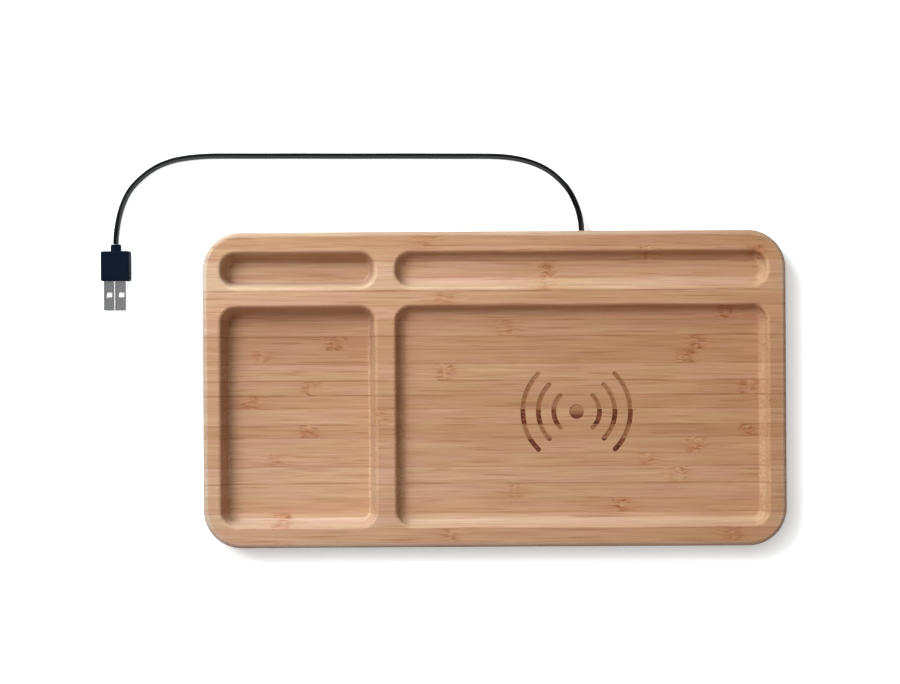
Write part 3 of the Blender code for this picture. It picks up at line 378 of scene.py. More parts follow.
def carve(piece, cutters, operation="DIFFERENCE"):
    """Cuts the cutters out of a piece, or joins them to it, and removes them."""
    for cutter in cutters:
        step = piece.modifiers.new(cutter.name, "BOOLEAN")
        step.operation = operation
        step.solver = "EXACT"
        step.object = cutter
    bake(piece)
    for cutter in cutters:
        bpy.data.objects.remove(cutter, do_unlink=True)


def settle(piece):
    """Moves a piece's place and turn into its mesh."""
    bpy.context.view_layer.update()
    piece.data.transform(piece.matrix_world)
    piece.matrix_world = Matrix.Identity(4)


def round_edges(piece, width, segments, angle=RIM_ANGLE):
    rims = piece.modifiers.new("Rims", "BEVEL")
    rims.limit_method = "ANGLE"
    rims.angle_limit = angle
    rims.width = width
    rims.segments = segments
    rims.loop_slide = False
    bake(piece)


def dress(piece, slot, nodes, *materials, smooth=SMOOTH_ANGLE):
    """Smooths a new mesh whose big flats stay flat. Gives a piece its finish and body, and hides the CAD
    nodes it stands for.
    """
    if piece.type == "MESH":
        piece.data.shade_smooth()
        piece.data.set_sharp_from_angle(angle=smooth)
        weigh = piece.modifiers.new("Flats", "WEIGHTED_NORMAL")
        weigh.keep_sharp = True
        bake(piece)
        settle(piece)
    piece.data.materials.clear()
    for mat in materials:
        piece.data.materials.append(mat)
    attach(piece, "root")
    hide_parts(*nodes)
    return piece


def seat(node):
    """Where a CAD node stands, half its length and its height."""
    low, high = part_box(node)
    return Vector(((low.x + high.x) / 2, (low.y + high.y) / 2, low.z)), (high.x - low.x) / 2, high.z - low.z


def numbered(kind):
    """The CAD nodes that are called by this kind and a number."""
    return sorted(name for name in NODES if name.startswith(kind + "_"))


# Materials

class Value:
    """A node's output. Sums, differences and products of values are made by nodes of their own."""

    def __init__(self, graph, socket):
        self.graph, self.socket = graph, socket

    def __add__(self, other):
        return self.graph.math("ADD", self, other)

    def __sub__(self, other):
        return self.graph.math("SUBTRACT", self, other)

    def __rsub__(self, other):
        return self.graph.math("SUBTRACT", other, self)

    def __mul__(self, other):
        return self.graph.math("MULTIPLY", self, other)

    def __abs__(self):
        return self.graph.math("ABSOLUTE", self)


# What spreads one number over the three parts of a vector
SPREAD = (7.31, 3.17, 5.03)


class Graph:
    """A node tree and what can be built in it."""

    def __init__(self, tree):
        self.tree = tree

    def node(self, kind, *inputs, named=None, **settings):
        """A new node. Its inputs are fed in their order, or by their names or numbers."""
        node = self.tree.nodes.new("ShaderNode" + kind)
        for key, value in settings.items():
            setattr(node, key, value)
        for key, value in {**dict(enumerate(inputs)), **(named or {})}.items():
            self.feed(node.inputs[key], value)
        return node

    def value(self, kind, *inputs, out=0, **settings):
        return Value(self, self.node(kind, *inputs, **settings).outputs[out])

    def feed(self, socket, value):
        if isinstance(value, Value):
            self.tree.links.new(value.socket, socket)
        else:
            socket.default_value = (*value, 1.0) if socket.type == "RGBA" else value

    def math(self, operation, *values):
        return self.value("Math", *values, operation=operation)

    def length(self, a, b):
        return self.math("SQRT", a * a + b * b)

    def fit(self, value, low, high, to_low=0.0, to_high=1.0, smooth=True):
        """Maps low..high to 0..1 or another range, and holds its ends."""
        return self.value("MapRange", value, low, high, to_low, to_high,
                          interpolation_type="SMOOTHSTEP" if smooth else "LINEAR")

    def mix(self, share, a, b, blend="MIX"):
        return self.value("Mix", named={0: share, 6: a, 7: b}, out=2, data_type="RGBA", blend_type=blend)

    def tint(self, colour, share, *tints):
        """Multiplies a colour by a tint, as far as share says, or by one that goes from tint to tint."""
        if len(tints) == 1:
            return self.mix(share, colour, tints[0], "MULTIPLY")
        return self.mix(1.0, colour, self.mix(share, *tints), "MULTIPLY")

    def parts(self, coordinates):
        """The three numbers of one of the point's own coordinates."""
        split = self.node("SeparateXYZ", self.value("TexCoord", out=coordinates))
        return [Value(self, out) for out in split.outputs]

    def place(self):
        """The point's place in millimetres, as three numbers."""
        return [part * 1000.0 for part in self.parts("Object")]

    def noise(self, point, lengths, detail=2.0, shift=0.0):
        """Noise whose grains have these lengths, in the point's own units."""
        vector = self.value("CombineXYZ", *[part * (1.0 / length) for part, length in zip(point, lengths)])
        if shift:
            apart = [shift * factor for factor in SPREAD]
            if isinstance(shift, Value):
                apart = self.value("CombineXYZ", *apart)
            vector = self.value("VectorMath", vector, apart, operation="ADD")
        return self.value("TexNoise", named={"Vector": vector, "Scale": 1.0, "Detail": detail})

    def clouds(self, point, length, ends=(0.3, 0.7), detail=2.0):
        """Even noise, stretched so that it reaches both 0 and 1."""
        return self.fit(self.noise(point, (length,) * 3, detail), *ends)


class Material(Graph):
    """A material's tree, with the shader that it comes with."""

    def __init__(self, name):
        self.material = bpy.data.materials.new(name)
        self.material.use_nodes = True
        super().__init__(self.material.node_tree)
        self.shader = self.tree.nodes["Principled BSDF"]

    def bump(self, height, distance, strength=1.0):
        relief = self.value("Bump", named={"Height": height, "Distance": distance, "Strength": strength})
        self.feed(self.shader.inputs["Normal"], relief)

    def finish(self, colour, roughness, **constants):
        self.feed(self.shader.inputs["Base Color"], colour)
        self.feed(self.shader.inputs["Roughness"], roughness)
        for key, value in constants.items():
            self.shader.inputs[key.replace("_", " ")].default_value = value
        return self.material


# Tones of the bamboo strips
BAMBOO_TONES = {
    "pale": (0.590, 0.390, 0.258),
    "cream": (0.570, 0.365, 0.232),
    "honey": (0.540, 0.332, 0.204),
    "rosy": (0.572, 0.340, 0.216),
    "tan": (0.512, 0.308, 0.185),
    "amber": (0.492, 0.288, 0.168),
}
# Strips, front to rear: where each starts in millimetres, its tone, how dark a burn gets in it,
# how dark the glue line at its start is, where its knuckles are along the tray, and how strong
BAMBOO_STRIPS = [
    (-80.0, "honey", 0.10, 0.0, (-108, None), 0.8),
    (-76.0, "honey", 0.10, 0.4, (-22, 118), 0.75),
    (-69.3, "pale", 0.10, 0.6, (-106, None), 1.0),
    (-61.6, "honey", 0.10, 0.5, (63, None), 1.0),
    (-54.3, "cream", 0.10, 0.3, (10, None), 0.5),
    (-47.1, "cream", 0.10, 1.0, (92, None), 0.6),
    (-38.6, "honey", 0.10, 0.6, (-110, 76), 0.45),
    (-32.2, "honey", 1.0, 0.4, (100, None), 1.0),
    (-24.4, "amber", 0.10, 0.5, (-93, 126), 1.0),
    (-17.8, "honey", 1.0, 0.9, (-57, None), 0.7),
    (-9.8, "amber", 0.10, 0.5, (-121, None), 0.7),
    (-3.1, "tan", 0.15, 1.0, (-92, 127), 0.85),
    (4.2, "honey", 0.10, 1.0, (-25, None), 1.0),
    (12.6, "amber", 0.10, 0.5, (-116, 96), 0.8),
    (19.5, "amber", 0.10, 0.3, (-80, 101), 1.0),
    (26.5, "honey", 0.10, 0.9, (5, None), 0.45),
    (34.5, "rosy", 0.10, 0.5, (115, None), 1.0),
    (41.5, "honey", 0.10, 0.5, (-25, None), 0.5),
    (49.0, "pale", 0.10, 1.0, (27, None), 0.7),
    (56.0, "pale", 0.10, 0.4, (27, None), 0.85),
    (63.9, "honey", 0.10, 0.9, (77, 131), 1.0),
    (71.0, "amber", 0.10, 0.4, (-36, None), 0.5),
]
BAMBOO_REACH = 80.0
BAMBOO_KNUCKLE_REACH = 160.0
BAMBOO_SLOTS = 32
STRIP_HEIGHT = 7.2
# Noises in the bamboo: the lengths of their grains along, across and up, their detail, and a shift
# that keeps them apart
BAMBOO_NOISES = {
    "sway": ((70, 40, 40), 1.0, 0.0),
    "ragged": ((3.6, 3.0, 3.0), 1.0, 0.0),
    "curl": ((9, 5, 5), 1.0, 4.0),
    "twist": ((5.0, 2.6, 2.6), 1.0, 5.0),
    "drift": ((60, 30, 30), 1.0, 0.0),
    "hue": ((38, 5, 5), 2.0, 0.37),
    "broad": ((42, 1.5, 1.5), 3.0, 0.71),
    "fine": ((24, 0.5, 0.5), 2.0, 0.13),
    "dash": ((26, 0.95, 0.95), 1.0, 0.53),
    "glue": ((30, 0.37, 30), 2.0, 2.0),
    "stroke": ((4.8, 0.85, 0.85), 1.0, 9.0),
    "blush": ((6, 3.4, 3.4), 1.0, 7.0),
    "jog": ((40, 1.7, 1.7), 2.0, 3.0),
    "pore": ((30, 0.55, 0.55), 1.0, 0.0),
    "scorch": ((2.2, 1.1, 1.1), 2.0, 6.0),
}
# What the layers of the bamboo multiply its tone by, in their order. Two tints are the ends of a range.
BAMBOO_TINTS = {
    # left and right: painted light falloff, paler and cooler toward the left end and darker toward the
    # right end
    "left": [(0.99, 1.03, 1.09)],
    "right": [(0.96, 0.92, 0.88)],
    "hue": [(0.996, 0.999, 0.946), (1.000, 0.951, 0.985)],
    "drift": [(0.955, 0.94, 0.915)],
    "broad": [(1.024, 1.035, 1.044), (0.899, 0.858, 0.809)],
    "fine": [(1.014, 1.019, 1.024), (0.930, 0.903, 0.876)],
    "dark dash": [(0.84, 0.76, 0.69)],
    "pale dash": [(1.05, 1.06, 1.08)],
    "glue": [(0.74, 0.64, 0.57)],
    "halo": [(0.99, 0.95, 0.92)],
    "blush": [(0.89, 0.77, 0.70)],
    "dark stroke": [(0.67, 0.56, 0.49)],
    "pale stroke": [(1.08, 1.13, 1.15)],
    "ring": [(1.08, 1.13, 1.16)],
    "pore": [(0.95, 0.92, 0.89)],
    # steep: painted sheen, every steep wall made paler and cooler
    "steep": [(1.00, 1.05, 1.10)],
    # cove: painted sheen on the rounded pocket rims and coves, paler and cooler
    "cove": [(1.04, 1.10, 1.16)],
    # The rounded outer edge gets a painted highlight, paler and bluer; its outermost part is toned down
    "painted_edge_highlight": [(1.02, 1.22, 1.46)],
    "outermost": [(0.88, 0.88, 0.87)],
}
# Tones of the burnt mark: a tint where it is weak, the range where it is dark, and the dot's two ends
WEAK_BURN = (0.55, 0.40, 0.28)
DARK_BURN = ((0.064, 0.0140, 0.0052), (0.205, 0.068, 0.033))
PALE_DOT = (0.86, 0.78, 0.73)
DARK_DOT = (0.125, 0.038, 0.016)


def strip_ramp(g, index, values):
    """A table with one entry for each strip, read by the strip's number: its colour and alpha."""
    node = g.node("ValToRGB", (index + 0.5) * (1.0 / BAMBOO_SLOTS))
    ramp = node.color_ramp
    ramp.interpolation = "CONSTANT"
    for i, value in enumerate(values):
        place = i / BAMBOO_SLOTS
        element = ramp.elements[i] if i < 2 else ramp.elements.new(place)
        element.position = place
        element.color = value
    return [Value(g, out) for out in node.outputs]


def strip_number(g, y):
    """Strips counted from the front edge: 3.25 is a quarter of the way across the fourth."""
    node = g.node("FloatCurve", named={"Value": (y + BAMBOO_REACH) * (1.0 / (2 * BAMBOO_REACH))})
    curve = node.mapping.curves[0]
    count = len(BAMBOO_STRIPS)
    for i, (start, *_) in enumerate(BAMBOO_STRIPS[1:], 1):
        curve.points.new((start + BAMBOO_REACH) / (2 * BAMBOO_REACH), i / count)
    for point in curve.points:
        point.handle_type = "VECTOR"
    node.mapping.update()
    return Value(g, node.outputs[0]) * count


def corner_distance(g, x, y):
    """How far out a place is from the rectangle through the middles of the tray's round corners."""
    aside = [g.math("MAXIMUM", abs(value) - 1000 * (half - TRAY_CORNER_RADIUS), 0.0)
             for value, half in ((x, TRAY_HIGH.x), (y, TRAY_HIGH.y))]
    return g.length(*aside)


def burn(g, x, y, scorch, wood, level, into):
    """The mark's brown: dark in some strips up to near their rear, paler and narrower elsewhere."""
    out_x, out_y = x - 1000 * MARK_CENTRE[0], y - 1000 * MARK_CENTRE[1]
    radius = g.length(out_x, out_y)
    spacing = MARK_ARC_RADII[1] - MARK_ARC_RADII[0]
    turns = (radius - 1000 * MARK_ARC_RADII[0]) * (0.001 / spacing)
    aside = abs(g.math("FRACT", turns + 0.5) - 0.5)
    patch = g.fit(scorch, 0.32, 0.68)
    edge = g.fit(aside, 0.158, 0.085, 0.15, 1.0)
    weak = g.tint(wood, edge * g.fit(patch, 0.0, 1.0, 0.50, 1.0, False), WEAK_BURN)
    in_arc = g.mix(level * g.fit(into, 0.97, 0.92), weak, g.mix(patch, *DARK_BURN))
    dot = g.mix(g.fit(out_y, 2.6, -3.0), g.tint(wood, 1.0, PALE_DOT), DARK_DOT)
    return g.mix(g.fit(radius, 5.0, 6.0), dot, in_arc)


def bamboo(name, burnt=False):
    """Upright strips of bamboo glued side by side, with their fibres, knuckles and glue lines. Also painted
    light: a falloff across the tray, painted sheen on walls, rims and coves, and a painted edge highlight.
    """
    g = Material(name)
    place = x, y, z = g.place()

    def noise(kind, point=place, shift=0.0):
        lengths, detail, apart = BAMBOO_NOISES[kind]
        return g.noise(point, lengths, detail, shift + apart)

    number = strip_number(g, y + (noise("sway") - 0.5) * 0.5)
    index, line = g.math("FLOOR", number), g.math("ROUND", number)
    reach = 2 * BAMBOO_KNUCKLE_REACH
    tone, burns = strip_ramp(g, index, [(*BAMBOO_TONES[name], dark)
                                        for _, name, dark, *_ in BAMBOO_STRIPS])
    marks, _ = strip_ramp(g, index, [
        (*[0.0 if spot is None else 0.5 + spot / reach for spot in places], strength, 1.0)
        for *_, places, strength in BAMBOO_STRIPS])
    glued, _ = strip_ramp(g, line, [(glue, glue, glue, 1.0) for _, _, _, glue, *_ in BAMBOO_STRIPS])
    *knuckles, strength = [Value(g, out) for out in g.node("SeparateColor", marks).outputs]

    near = g.math("MINIMUM", *[abs(x - (knuckle - 0.5) * reach) for knuckle in knuckles])
    halo = g.fit(near, 15.0, 1.5)
    knot = g.fit(near + (noise("ragged") - 0.5) * 7.0, 6.2, 1.6) * strength
    curl = (noise("curl") - 0.5) * 4.6 * halo
    twist = (noise("twist") - 0.5) * 2.4 * knot
    fibre = (x, y + curl + twist + x * 0.006, z)
    broad = g.fit(noise("broad", fibre, index), 0.3, 0.7)
    fine = g.fit(noise("fine", fibre, index), 0.3, 0.7)
    dash = noise("dash", fibre, index)
    dark_dash = g.fit(dash, 0.60, 0.72)
    stroke = noise("stroke", fibre)
    glue = g.fit(abs(number - line) * STRIP_HEIGHT, 0.62, 0.12) * glued
    glue = glue * g.fit(noise("glue", (x, line, z)), 0.36, 0.62, 0.25, 1.0)
    jog = near + noise("jog") * 2.4

    # Painted light falloff: this share runs from the left end to the right end and sets the left and right
    # tints
    side = g.fit(x, -145.0, 145.0, smooth=False)
    facing = g.parts("Normal")
    level = abs(facing[2])
    end = g.fit(abs(facing[0]), 0.35, 0.85)
    out = corner_distance(g, x, y)
    # Painted highlight on the rounded outer edge, near the top face
    painted_edge_highlight = g.fit(out, 16.5, 16.9) * g.fit(z, 19.0, 19.6)
    shares = {
        # left and right: painted light falloff across the tray
        "left": 1.0 - side,
        "right": side,
        "hue": g.fit(noise("hue", shift=index), 0.34, 0.66),
        "drift": g.fit(noise("drift", shift=index), 0.3, 0.7),
        "broad": broad,
        "fine": fine,
        "dark dash": dark_dash,
        "pale dash": g.fit(dash, 0.38, 0.28),
        "glue": glue,
        "halo": halo,
        "blush": g.fit(noise("blush"), 0.42, 0.58) * knot,
        "dark stroke": g.fit(stroke, 0.54, 0.64) * knot,
        "pale stroke": g.fit(stroke, 0.44, 0.35) * knot,
        "ring": g.fit(abs(jog - 1.5), 0.42, 0.12) * knot,
        "pore": end * g.fit(noise("pore", shift=index), 0.48, 0.64),
        # Painted sheen on steep walls, by how upright the surface is
        "steep": g.fit(level, 0.75, 0.45),
        # Painted sheen on the rounded rims and coves below the top face
        "cove": g.fit(level, 0.96, 0.85) * g.fit(level, 0.42, 0.58) * g.fit(z, 19.6, 18.8),
        "painted_edge_highlight": painted_edge_highlight,
        # The outer part of the painted edge highlight, toned down
        "outermost": painted_edge_highlight * g.fit(out, 17.6, 18.6),
    }
    colour = tone
    for layer, tints in BAMBOO_TINTS.items():
        colour = g.tint(colour, shares[layer], *tints)
    if burnt:
        colour = burn(g, x, y, noise("scorch"), colour, burns, number - index)

    g.bump((1.0 - fine) * 0.4 + dark_dash * -0.6 + glue * -0.8, 0.0001, 0.5)
    return g.finish(colour, g.fit(broad, 0.0, 1.0, 0.46, 0.58, False), Specular_IOR_Level=0.16)


def mottled(name, colour, other, grain=1.0, roughness=(0.4, 0.6), bump=0.0, **constants):
    """A plain stuff with a fine grain: two near colours, an uneven gloss and a little relief."""
    g = Material(name)
    point = g.place()
    fine = g.clouds(point, grain, (0.35, 0.65), 3.0)
    share = g.clouds(point, grain * 8, (0.35, 0.65)) * 0.5 + fine * 0.5
    if bump:
        g.bump(fine, bump)
    return g.finish(g.mix(share, colour, other), g.fit(share, 0.0, 1.0, *roughness), **constants)


def metal(name, colour, other, roughness=(0.25, 0.4), lengths=(1.2, 1.2, 1.2)):
    """Plated metal with faint marks."""
    g = Material(name)
    point = g.place()
    scratch = g.fit(g.noise(point, lengths, 3.0), 0.35, 0.65)
    g.bump(scratch, 0.00001, 0.5)
    share = g.clouds(point, 3.1, detail=3.0) * 0.6 + scratch * 0.4
    return g.finish(g.mix(share, colour, other), g.fit(share, 0.0, 1.0, *roughness), Metallic=1.0)


# Camera, floor and lights

def add_camera():
    data = bpy.data.cameras.new("camera")
    data.lens = CAMERA_LENS
    data.sensor_width = CAMERA_SENSOR
    camera = bpy.data.objects.new("camera", data)
    camera.location = CAMERA_PLACE
    camera.rotation_euler = (0, 0, CAMERA_TURN)
    bpy.context.scene.collection.objects.link(camera)
    bpy.context.scene.camera = camera


# Cable

def smooth_route(points, count):
    """Evenly spaced points on a Catmull-Rom curve through the route's own points."""
    pts = [Vector(p) for p in points]
    pts = [pts[0] * 2 - pts[1]] + pts + [pts[-1] * 2 - pts[-2]]
    dense = []
    for a, b, c, d in zip(pts, pts[1:], pts[2:], pts[3:]):
        for i in range(ROUTE_STEPS):
            t = i / ROUTE_STEPS
            dense.append(0.5 * (2 * b + (c - a) * t + (2 * a - 5 * b + 4 * c - d) * t ** 2
                                + (3 * b - a - 3 * c + d) * t ** 3))
    dense.append(pts[-2])
    along = [0.0]
    for a, b in zip(dense, dense[1:]):
        along.append(along[-1] + (b - a).length)
    columns = np.array(dense).T
    targets = np.linspace(0, along[-1], count)
    return list(zip(*(np.interp(targets, along, column) for column in columns)))


def plug_height():
    """The height of the plug's axis when its rolled grip rests on one rounded edge."""
    across = PLUG_BODY[0] / 2 - PLUG_BODY_ROUND
    up = PLUG_BODY[2] / 2 - PLUG_BODY_ROUND
    return up * math.cos(PLUG_ROLL) + across * math.sin(PLUG_ROLL) + PLUG_BODY_ROUND


def cable_route():
    drop = [CABLE_LIE_HEIGHT + (CABLE_HEIGHT - CABLE_LIE_HEIGHT) * s for s in CABLE_DROP_SHARES]
    rise = [CABLE_LIE_HEIGHT + (plug_height() - CABLE_LIE_HEIGHT) * s for s in CABLE_RISE_SHARES]
    level = [CABLE_LIE_HEIGHT] * (len(CABLE_ROUTE) - len(drop) - len(rise))
    return [(EXIT_X + x, TRAY_HIGH.y + y, z)
            for (x, y), z in zip(CABLE_ROUTE, drop + level + rise)]


def make_cable():
    cable = tube("free_cable", smooth_route(cable_route(), CABLE_POINTS), CABLE_DIAMETER,
                 CABLE_ROUNDNESS)
    jacket = mottled("cable_jacket", (0.0030, 0.0030, 0.0032), (0.0050, 0.0050, 0.0053), 0.6,
                     (0.22, 0.30), 0.000005, Specular_IOR_Level=0.3)
    return dress(cable, "cable_jacket", ["usb_cable"], jacket)


def make_plug():
    """The moulded grip with its collar, and the metal shell. Both are built level, then rolled."""
    x, end_y, z = cable_route()[-1]
    collar_rear = end_y - SEAT_GAP
    body_rear = collar_rear - PLUG_COLLAR_LENGTH
    body_front = body_rear - PLUG_BODY[1]
    shell_front = body_front - PLUG_SHELL[1]
    shell_rear = body_front + PLUG_SOCKET_DEPTH - SEAT_GAP
    top = z + PLUG_SHELL[2] / 2

    def bar(name, across, front, rear, up, rounded=0.0, height=z):
        mesh = block(name, (across, rear - front, up), rounded, PLUG_SEGMENTS, axis=1)
        return new_piece(name, mesh, (x, (front + rear) / 2, height))

    grip = bar("plug_grip", PLUG_BODY[0], body_front, body_rear, PLUG_BODY[2])
    round_edges(grip, PLUG_BODY_ROUND, PLUG_SEGMENTS)
    collar = rod("collar", PLUG_COLLAR_RADIUS, body_rear - CUT_OVERRUN, collar_rear, x, z,
                 PLUG_COLLAR_SEGMENTS)
    round_edges(collar, PLUG_COLLAR_ROUND, PLUG_SEGMENTS)
    carve(grip, [collar], "UNION")
    carve(grip, [bar("socket", PLUG_SHELL[0] + 2 * SEAT_GAP, body_front - CUT_OVERRUN,
                     body_front + PLUG_SOCKET_DEPTH, PLUG_SHELL[2] + 2 * SEAT_GAP,
                     PLUG_SHELL_ROUND + SEAT_GAP)])

    shell = bar("plug_sleeve", PLUG_SHELL[0], shell_front, shell_rear, PLUG_SHELL[2], PLUG_SHELL_ROUND)
    front, rear = shell_front - CUT_OVERRUN, shell_rear + CUT_OVERRUN
    cutters = [bar("hollow", PLUG_SHELL[0] - 2 * PLUG_SHELL_WALL, front, rear,
                   PLUG_SHELL[2] - 2 * PLUG_SHELL_WALL, PLUG_SHELL_ROUND - PLUG_SHELL_WALL)]
    for side in (-1, 1):
        window = block("window", (*PLUG_WINDOW, PLUG_SHELL[2] + 2 * CUT_OVERRUN), PLUG_WINDOW_ROUND,
                       PLUG_WINDOW_SEGMENTS)
        cutters.append(new_piece("window", window, (x + side * PLUG_WINDOW_SPACING / 2,
                                                    shell_front + PLUG_WINDOW_FROM_MOUTH, z)))
    cutters.append(bar("seam", PLUG_SEAM_WIDTH, front, rear, PLUG_SHELL_WALL, height=top))
    cutters.append(rod("dip", PLUG_DIP_RADIUS, front, rear, x, top + PLUG_DIP_RADIUS - PLUG_DIP_DEPTH,
                       PLUG_DIP_SEGMENTS))
    carve(shell, cutters)
    round_edges(shell, PLUG_SHELL_EDGE_ROUND, PLUG_SHELL_EDGE_SEGMENTS)

    axis = Matrix.Translation((x, 0, z))
    roll = axis @ Matrix.Rotation(-PLUG_ROLL, 4, "Y") @ axis.inverted()
    for piece in (grip, shell):
        piece.matrix_basis = roll @ piece.matrix_basis
    plastic = mottled("plug_plastic", (0.0026, 0.0052, 0.0110), (0.0040, 0.0072, 0.0142), 0.5,
                      (0.6, 0.7), 0.00001, Specular_IOR_Level=0.035)
    steel = metal("plug_steel", (0.70, 0.70, 0.70), (0.48, 0.48, 0.49), (0.16, 0.24), (0.7, 0.7, 0.7))
    return [dress(grip, "plug_plastic", ["plug_body"], plastic),
            dress(shell, "plug_steel", ["plug_shell"], steel)]


# Tray

def pocket_profile(depth):
    """From the floor's edge up the wall: how far in from the rim, and the height from the rim."""
    run, reach = POCKET_FEET[depth]
    edge = Vector((run, -depth))
    corner = Vector((run - reach, POCKET_FOOT_RISE * reach - depth))
    top = Vector((POCKET_EDGE_ROUND, 0))
    up = (top - corner).normalized()
    profile = []
    for step in range(POCKET_FOOT_SEGMENTS + 1):
        t = step / POCKET_FOOT_SEGMENTS
        wall = corner + up * reach
        profile.append(edge * (1 - t) ** 2 + corner * 2 * t * (1 - t) + wall * t ** 2)
    profile.append(top + up * CUT_OVERRUN)
    return profile


def pocket(name, columns, row, depth):
    """The space of one milled pocket: round corners, steep walls and coves that end in a crisp foot."""
    half_x, half_y = (columns[1] - columns[0]) / 2, (row[1] - row[0]) / 2
    rings = []
    for inset, height in pocket_profile(depth):
        outline = round_rectangle(half_x - inset, half_y - inset, POCKET_RIM_RADIUS - inset,
                                  POCKET_CORNER_SEGMENTS)
        rings.append([(x, y, height) for x, y in outline])
    return new_piece(name, loft(name, rings), (sum(columns) / 2, sum(row) / 2, TRAY_HIGH.z))


def box_cutter(name, x_range, y_range, top, corner=0.0):
    low = TRAY_LOW.z - CUT_OVERRUN
    size = (x_range[1] - x_range[0], y_range[1] - y_range[0], top - low)
    middle = (sum(x_range) / 2, sum(y_range) / 2, (low + top) / 2)
    return new_piece(name, block(name, size, corner, CUTTER_CORNER_SEGMENTS), middle)


def hole_cutter(radius, low, high, place, segments, top_radius=None):
    mesh = cylinder("hole", radius, high - low, segments, top_radius)
    return new_piece("hole", mesh, (place.x, place.y, (low + high) / 2))


def underside_cutters():
    x, y = MODULE_CENTRE
    half = RECESS_SIZE / 2
    low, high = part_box("base_cover")
    bay = (EXIT_X - BAY_SIZE[0] / 2, EXIT_X + BAY_SIZE[0] / 2)
    bay_rear = y + half + BAY_SIZE[1]
    rear = TRAY_HIGH.y + CUT_OVERRUN
    cutters = [
        box_cutter("recess", (x - half, x + half), (y - half, y + half), RECESS_CEILING,
                   RECESS_CORNER_RADIUS),
        box_cutter("bay", bay, (y + half - CUT_OVERRUN, bay_rear), BAY_CEILING),
        box_cutter("rebate", (low.x - SEAT_GAP, high.x + SEAT_GAP), (low.y - SEAT_GAP, high.y + SEAT_GAP),
                   LEDGE_HEIGHT, COVER_CORNER_RADIUS),
        rod("cable_bore", CABLE_BORE_RADIUS, bay_rear - CUT_OVERRUN, rear, EXIT_X, CABLE_HEIGHT,
            BORE_SEGMENTS),
        rod("grommet_bore", GROMMET_BORE_RADIUS, TRAY_HIGH.y - GROMMET_BORE_DEPTH, rear, EXIT_X,
            CABLE_HEIGHT, GROMMET_SEGMENTS),
    ]
    for kind, (radius, face, depth, segments) in HOLES.items():
        cutters += [hole_cutter(radius, face - CUT_OVERRUN / 2, face + depth, seat(node)[0], segments)
                    for node in numbered(kind)]
    return cutters


def arc_outline(radius, side):
    """The outline of one arc of the mark, with round ends. side is 1 for right and -1 for left."""
    half, end = MARK_ARC_WIDTH / 2, MARK_ARC_HALF_ANGLE
    sweep = np.linspace(-end, end, MARK_STEPS)
    cap = np.linspace(0, math.pi, MARK_CAP_STEPS + 2)[1:-1]
    outline = [polar(radius + half, angle) for angle in sweep]
    outline += [polar(half, end + turn, polar(radius, end)) for turn in cap]
    outline += [polar(radius - half, angle) for angle in sweep[::-1]]
    outline += [polar(-half, turn - end, polar(radius, -end)) for turn in cap]
    return [(MARK_CENTRE[0] + side * u, MARK_CENTRE[1] + side * v) for u, v in outline]


def mark_cutters(floor):
    low, high = floor - MARK_DEPTH, floor + CUT_OVERRUN
    dot = [polar(MARK_DOT_RADIUS, angle, MARK_CENTRE)
           for angle in np.linspace(0, math.tau, MARK_STEPS, endpoint=False)]
    cutters = [new_piece("dot", prism("dot", dot, low, high))]
    for radius in MARK_ARC_RADII:
        for side in (-1, 1):
            cutters.append(new_piece("arc", prism("arc", arc_outline(radius, side), low, high)))
    return cutters


def make_tray():
    mesh = block("bamboo_tray", TRAY_HIGH - TRAY_LOW, TRAY_CORNER_RADIUS, TRAY_CORNER_SEGMENTS)
    tray = new_piece("bamboo_tray", mesh, (TRAY_LOW + TRAY_HIGH) / 2)
    round_edges(tray, TRAY_EDGE_ROUND, RIM_SEGMENTS)
    carve(tray, [
        pocket("small_slot", LEFT_COLUMN, SLOT_ROW, LEFT_POCKET_DEPTH),
        pocket("deep_tray", LEFT_COLUMN, TRAY_ROW, LEFT_POCKET_DEPTH),
        pocket("pen_slot", RIGHT_COLUMN, SLOT_ROW, RIGHT_POCKET_DEPTH),
        pocket("charging_pocket", RIGHT_COLUMN, TRAY_ROW, RIGHT_POCKET_DEPTH),
    ])
    round_edges(tray, POCKET_EDGE_ROUND, RIM_SEGMENTS)
    floor = TRAY_HIGH.z - RIGHT_POCKET_DEPTH
    carve(tray, underside_cutters())
    carve(tray, mark_cutters(floor))
    dress(tray, "bamboo", ["tray"], bamboo("bamboo"), bamboo("burnt_bamboo", burnt=True))
    reach = MARK_ARC_RADII[-1] + MARK_ARC_WIDTH
    for face in tray.data.polygons:
        aside = Vector(face.center.xy) - Vector(MARK_CENTRE)
        sunk = floor - 1.5 * MARK_DEPTH < face.center.z < floor - 0.1 * MARK_DEPTH
        face.material_index = 1 if sunk and aside.length < reach else 0


# Feet, cover, grommet and screws

def make_feet():
    rubber = mottled("foot_rubber", (0.022, 0.022, 0.022), (0.034, 0.034, 0.033), 0.5, (0.75, 0.9),
                     0.00003)
    groove = zip(FOOT_GROOVE, (0, FOOT_GROOVE_DEPTH, FOOT_GROOVE_DEPTH, 0))
    lower = [(0, 0), *groove]
    for node in numbered("foot"):
        place, radius, height = seat(node)
        edge = arc((radius - FOOT_EDGE_ROUND, FOOT_EDGE_ROUND), FOOT_EDGE_ROUND, -1, 0)
        mesh = turned("rubber_" + node, [*lower, *edge, (radius, height), (0, height)])
        dress(new_piece("rubber_" + node, mesh, place), "rubber", [node], rubber)


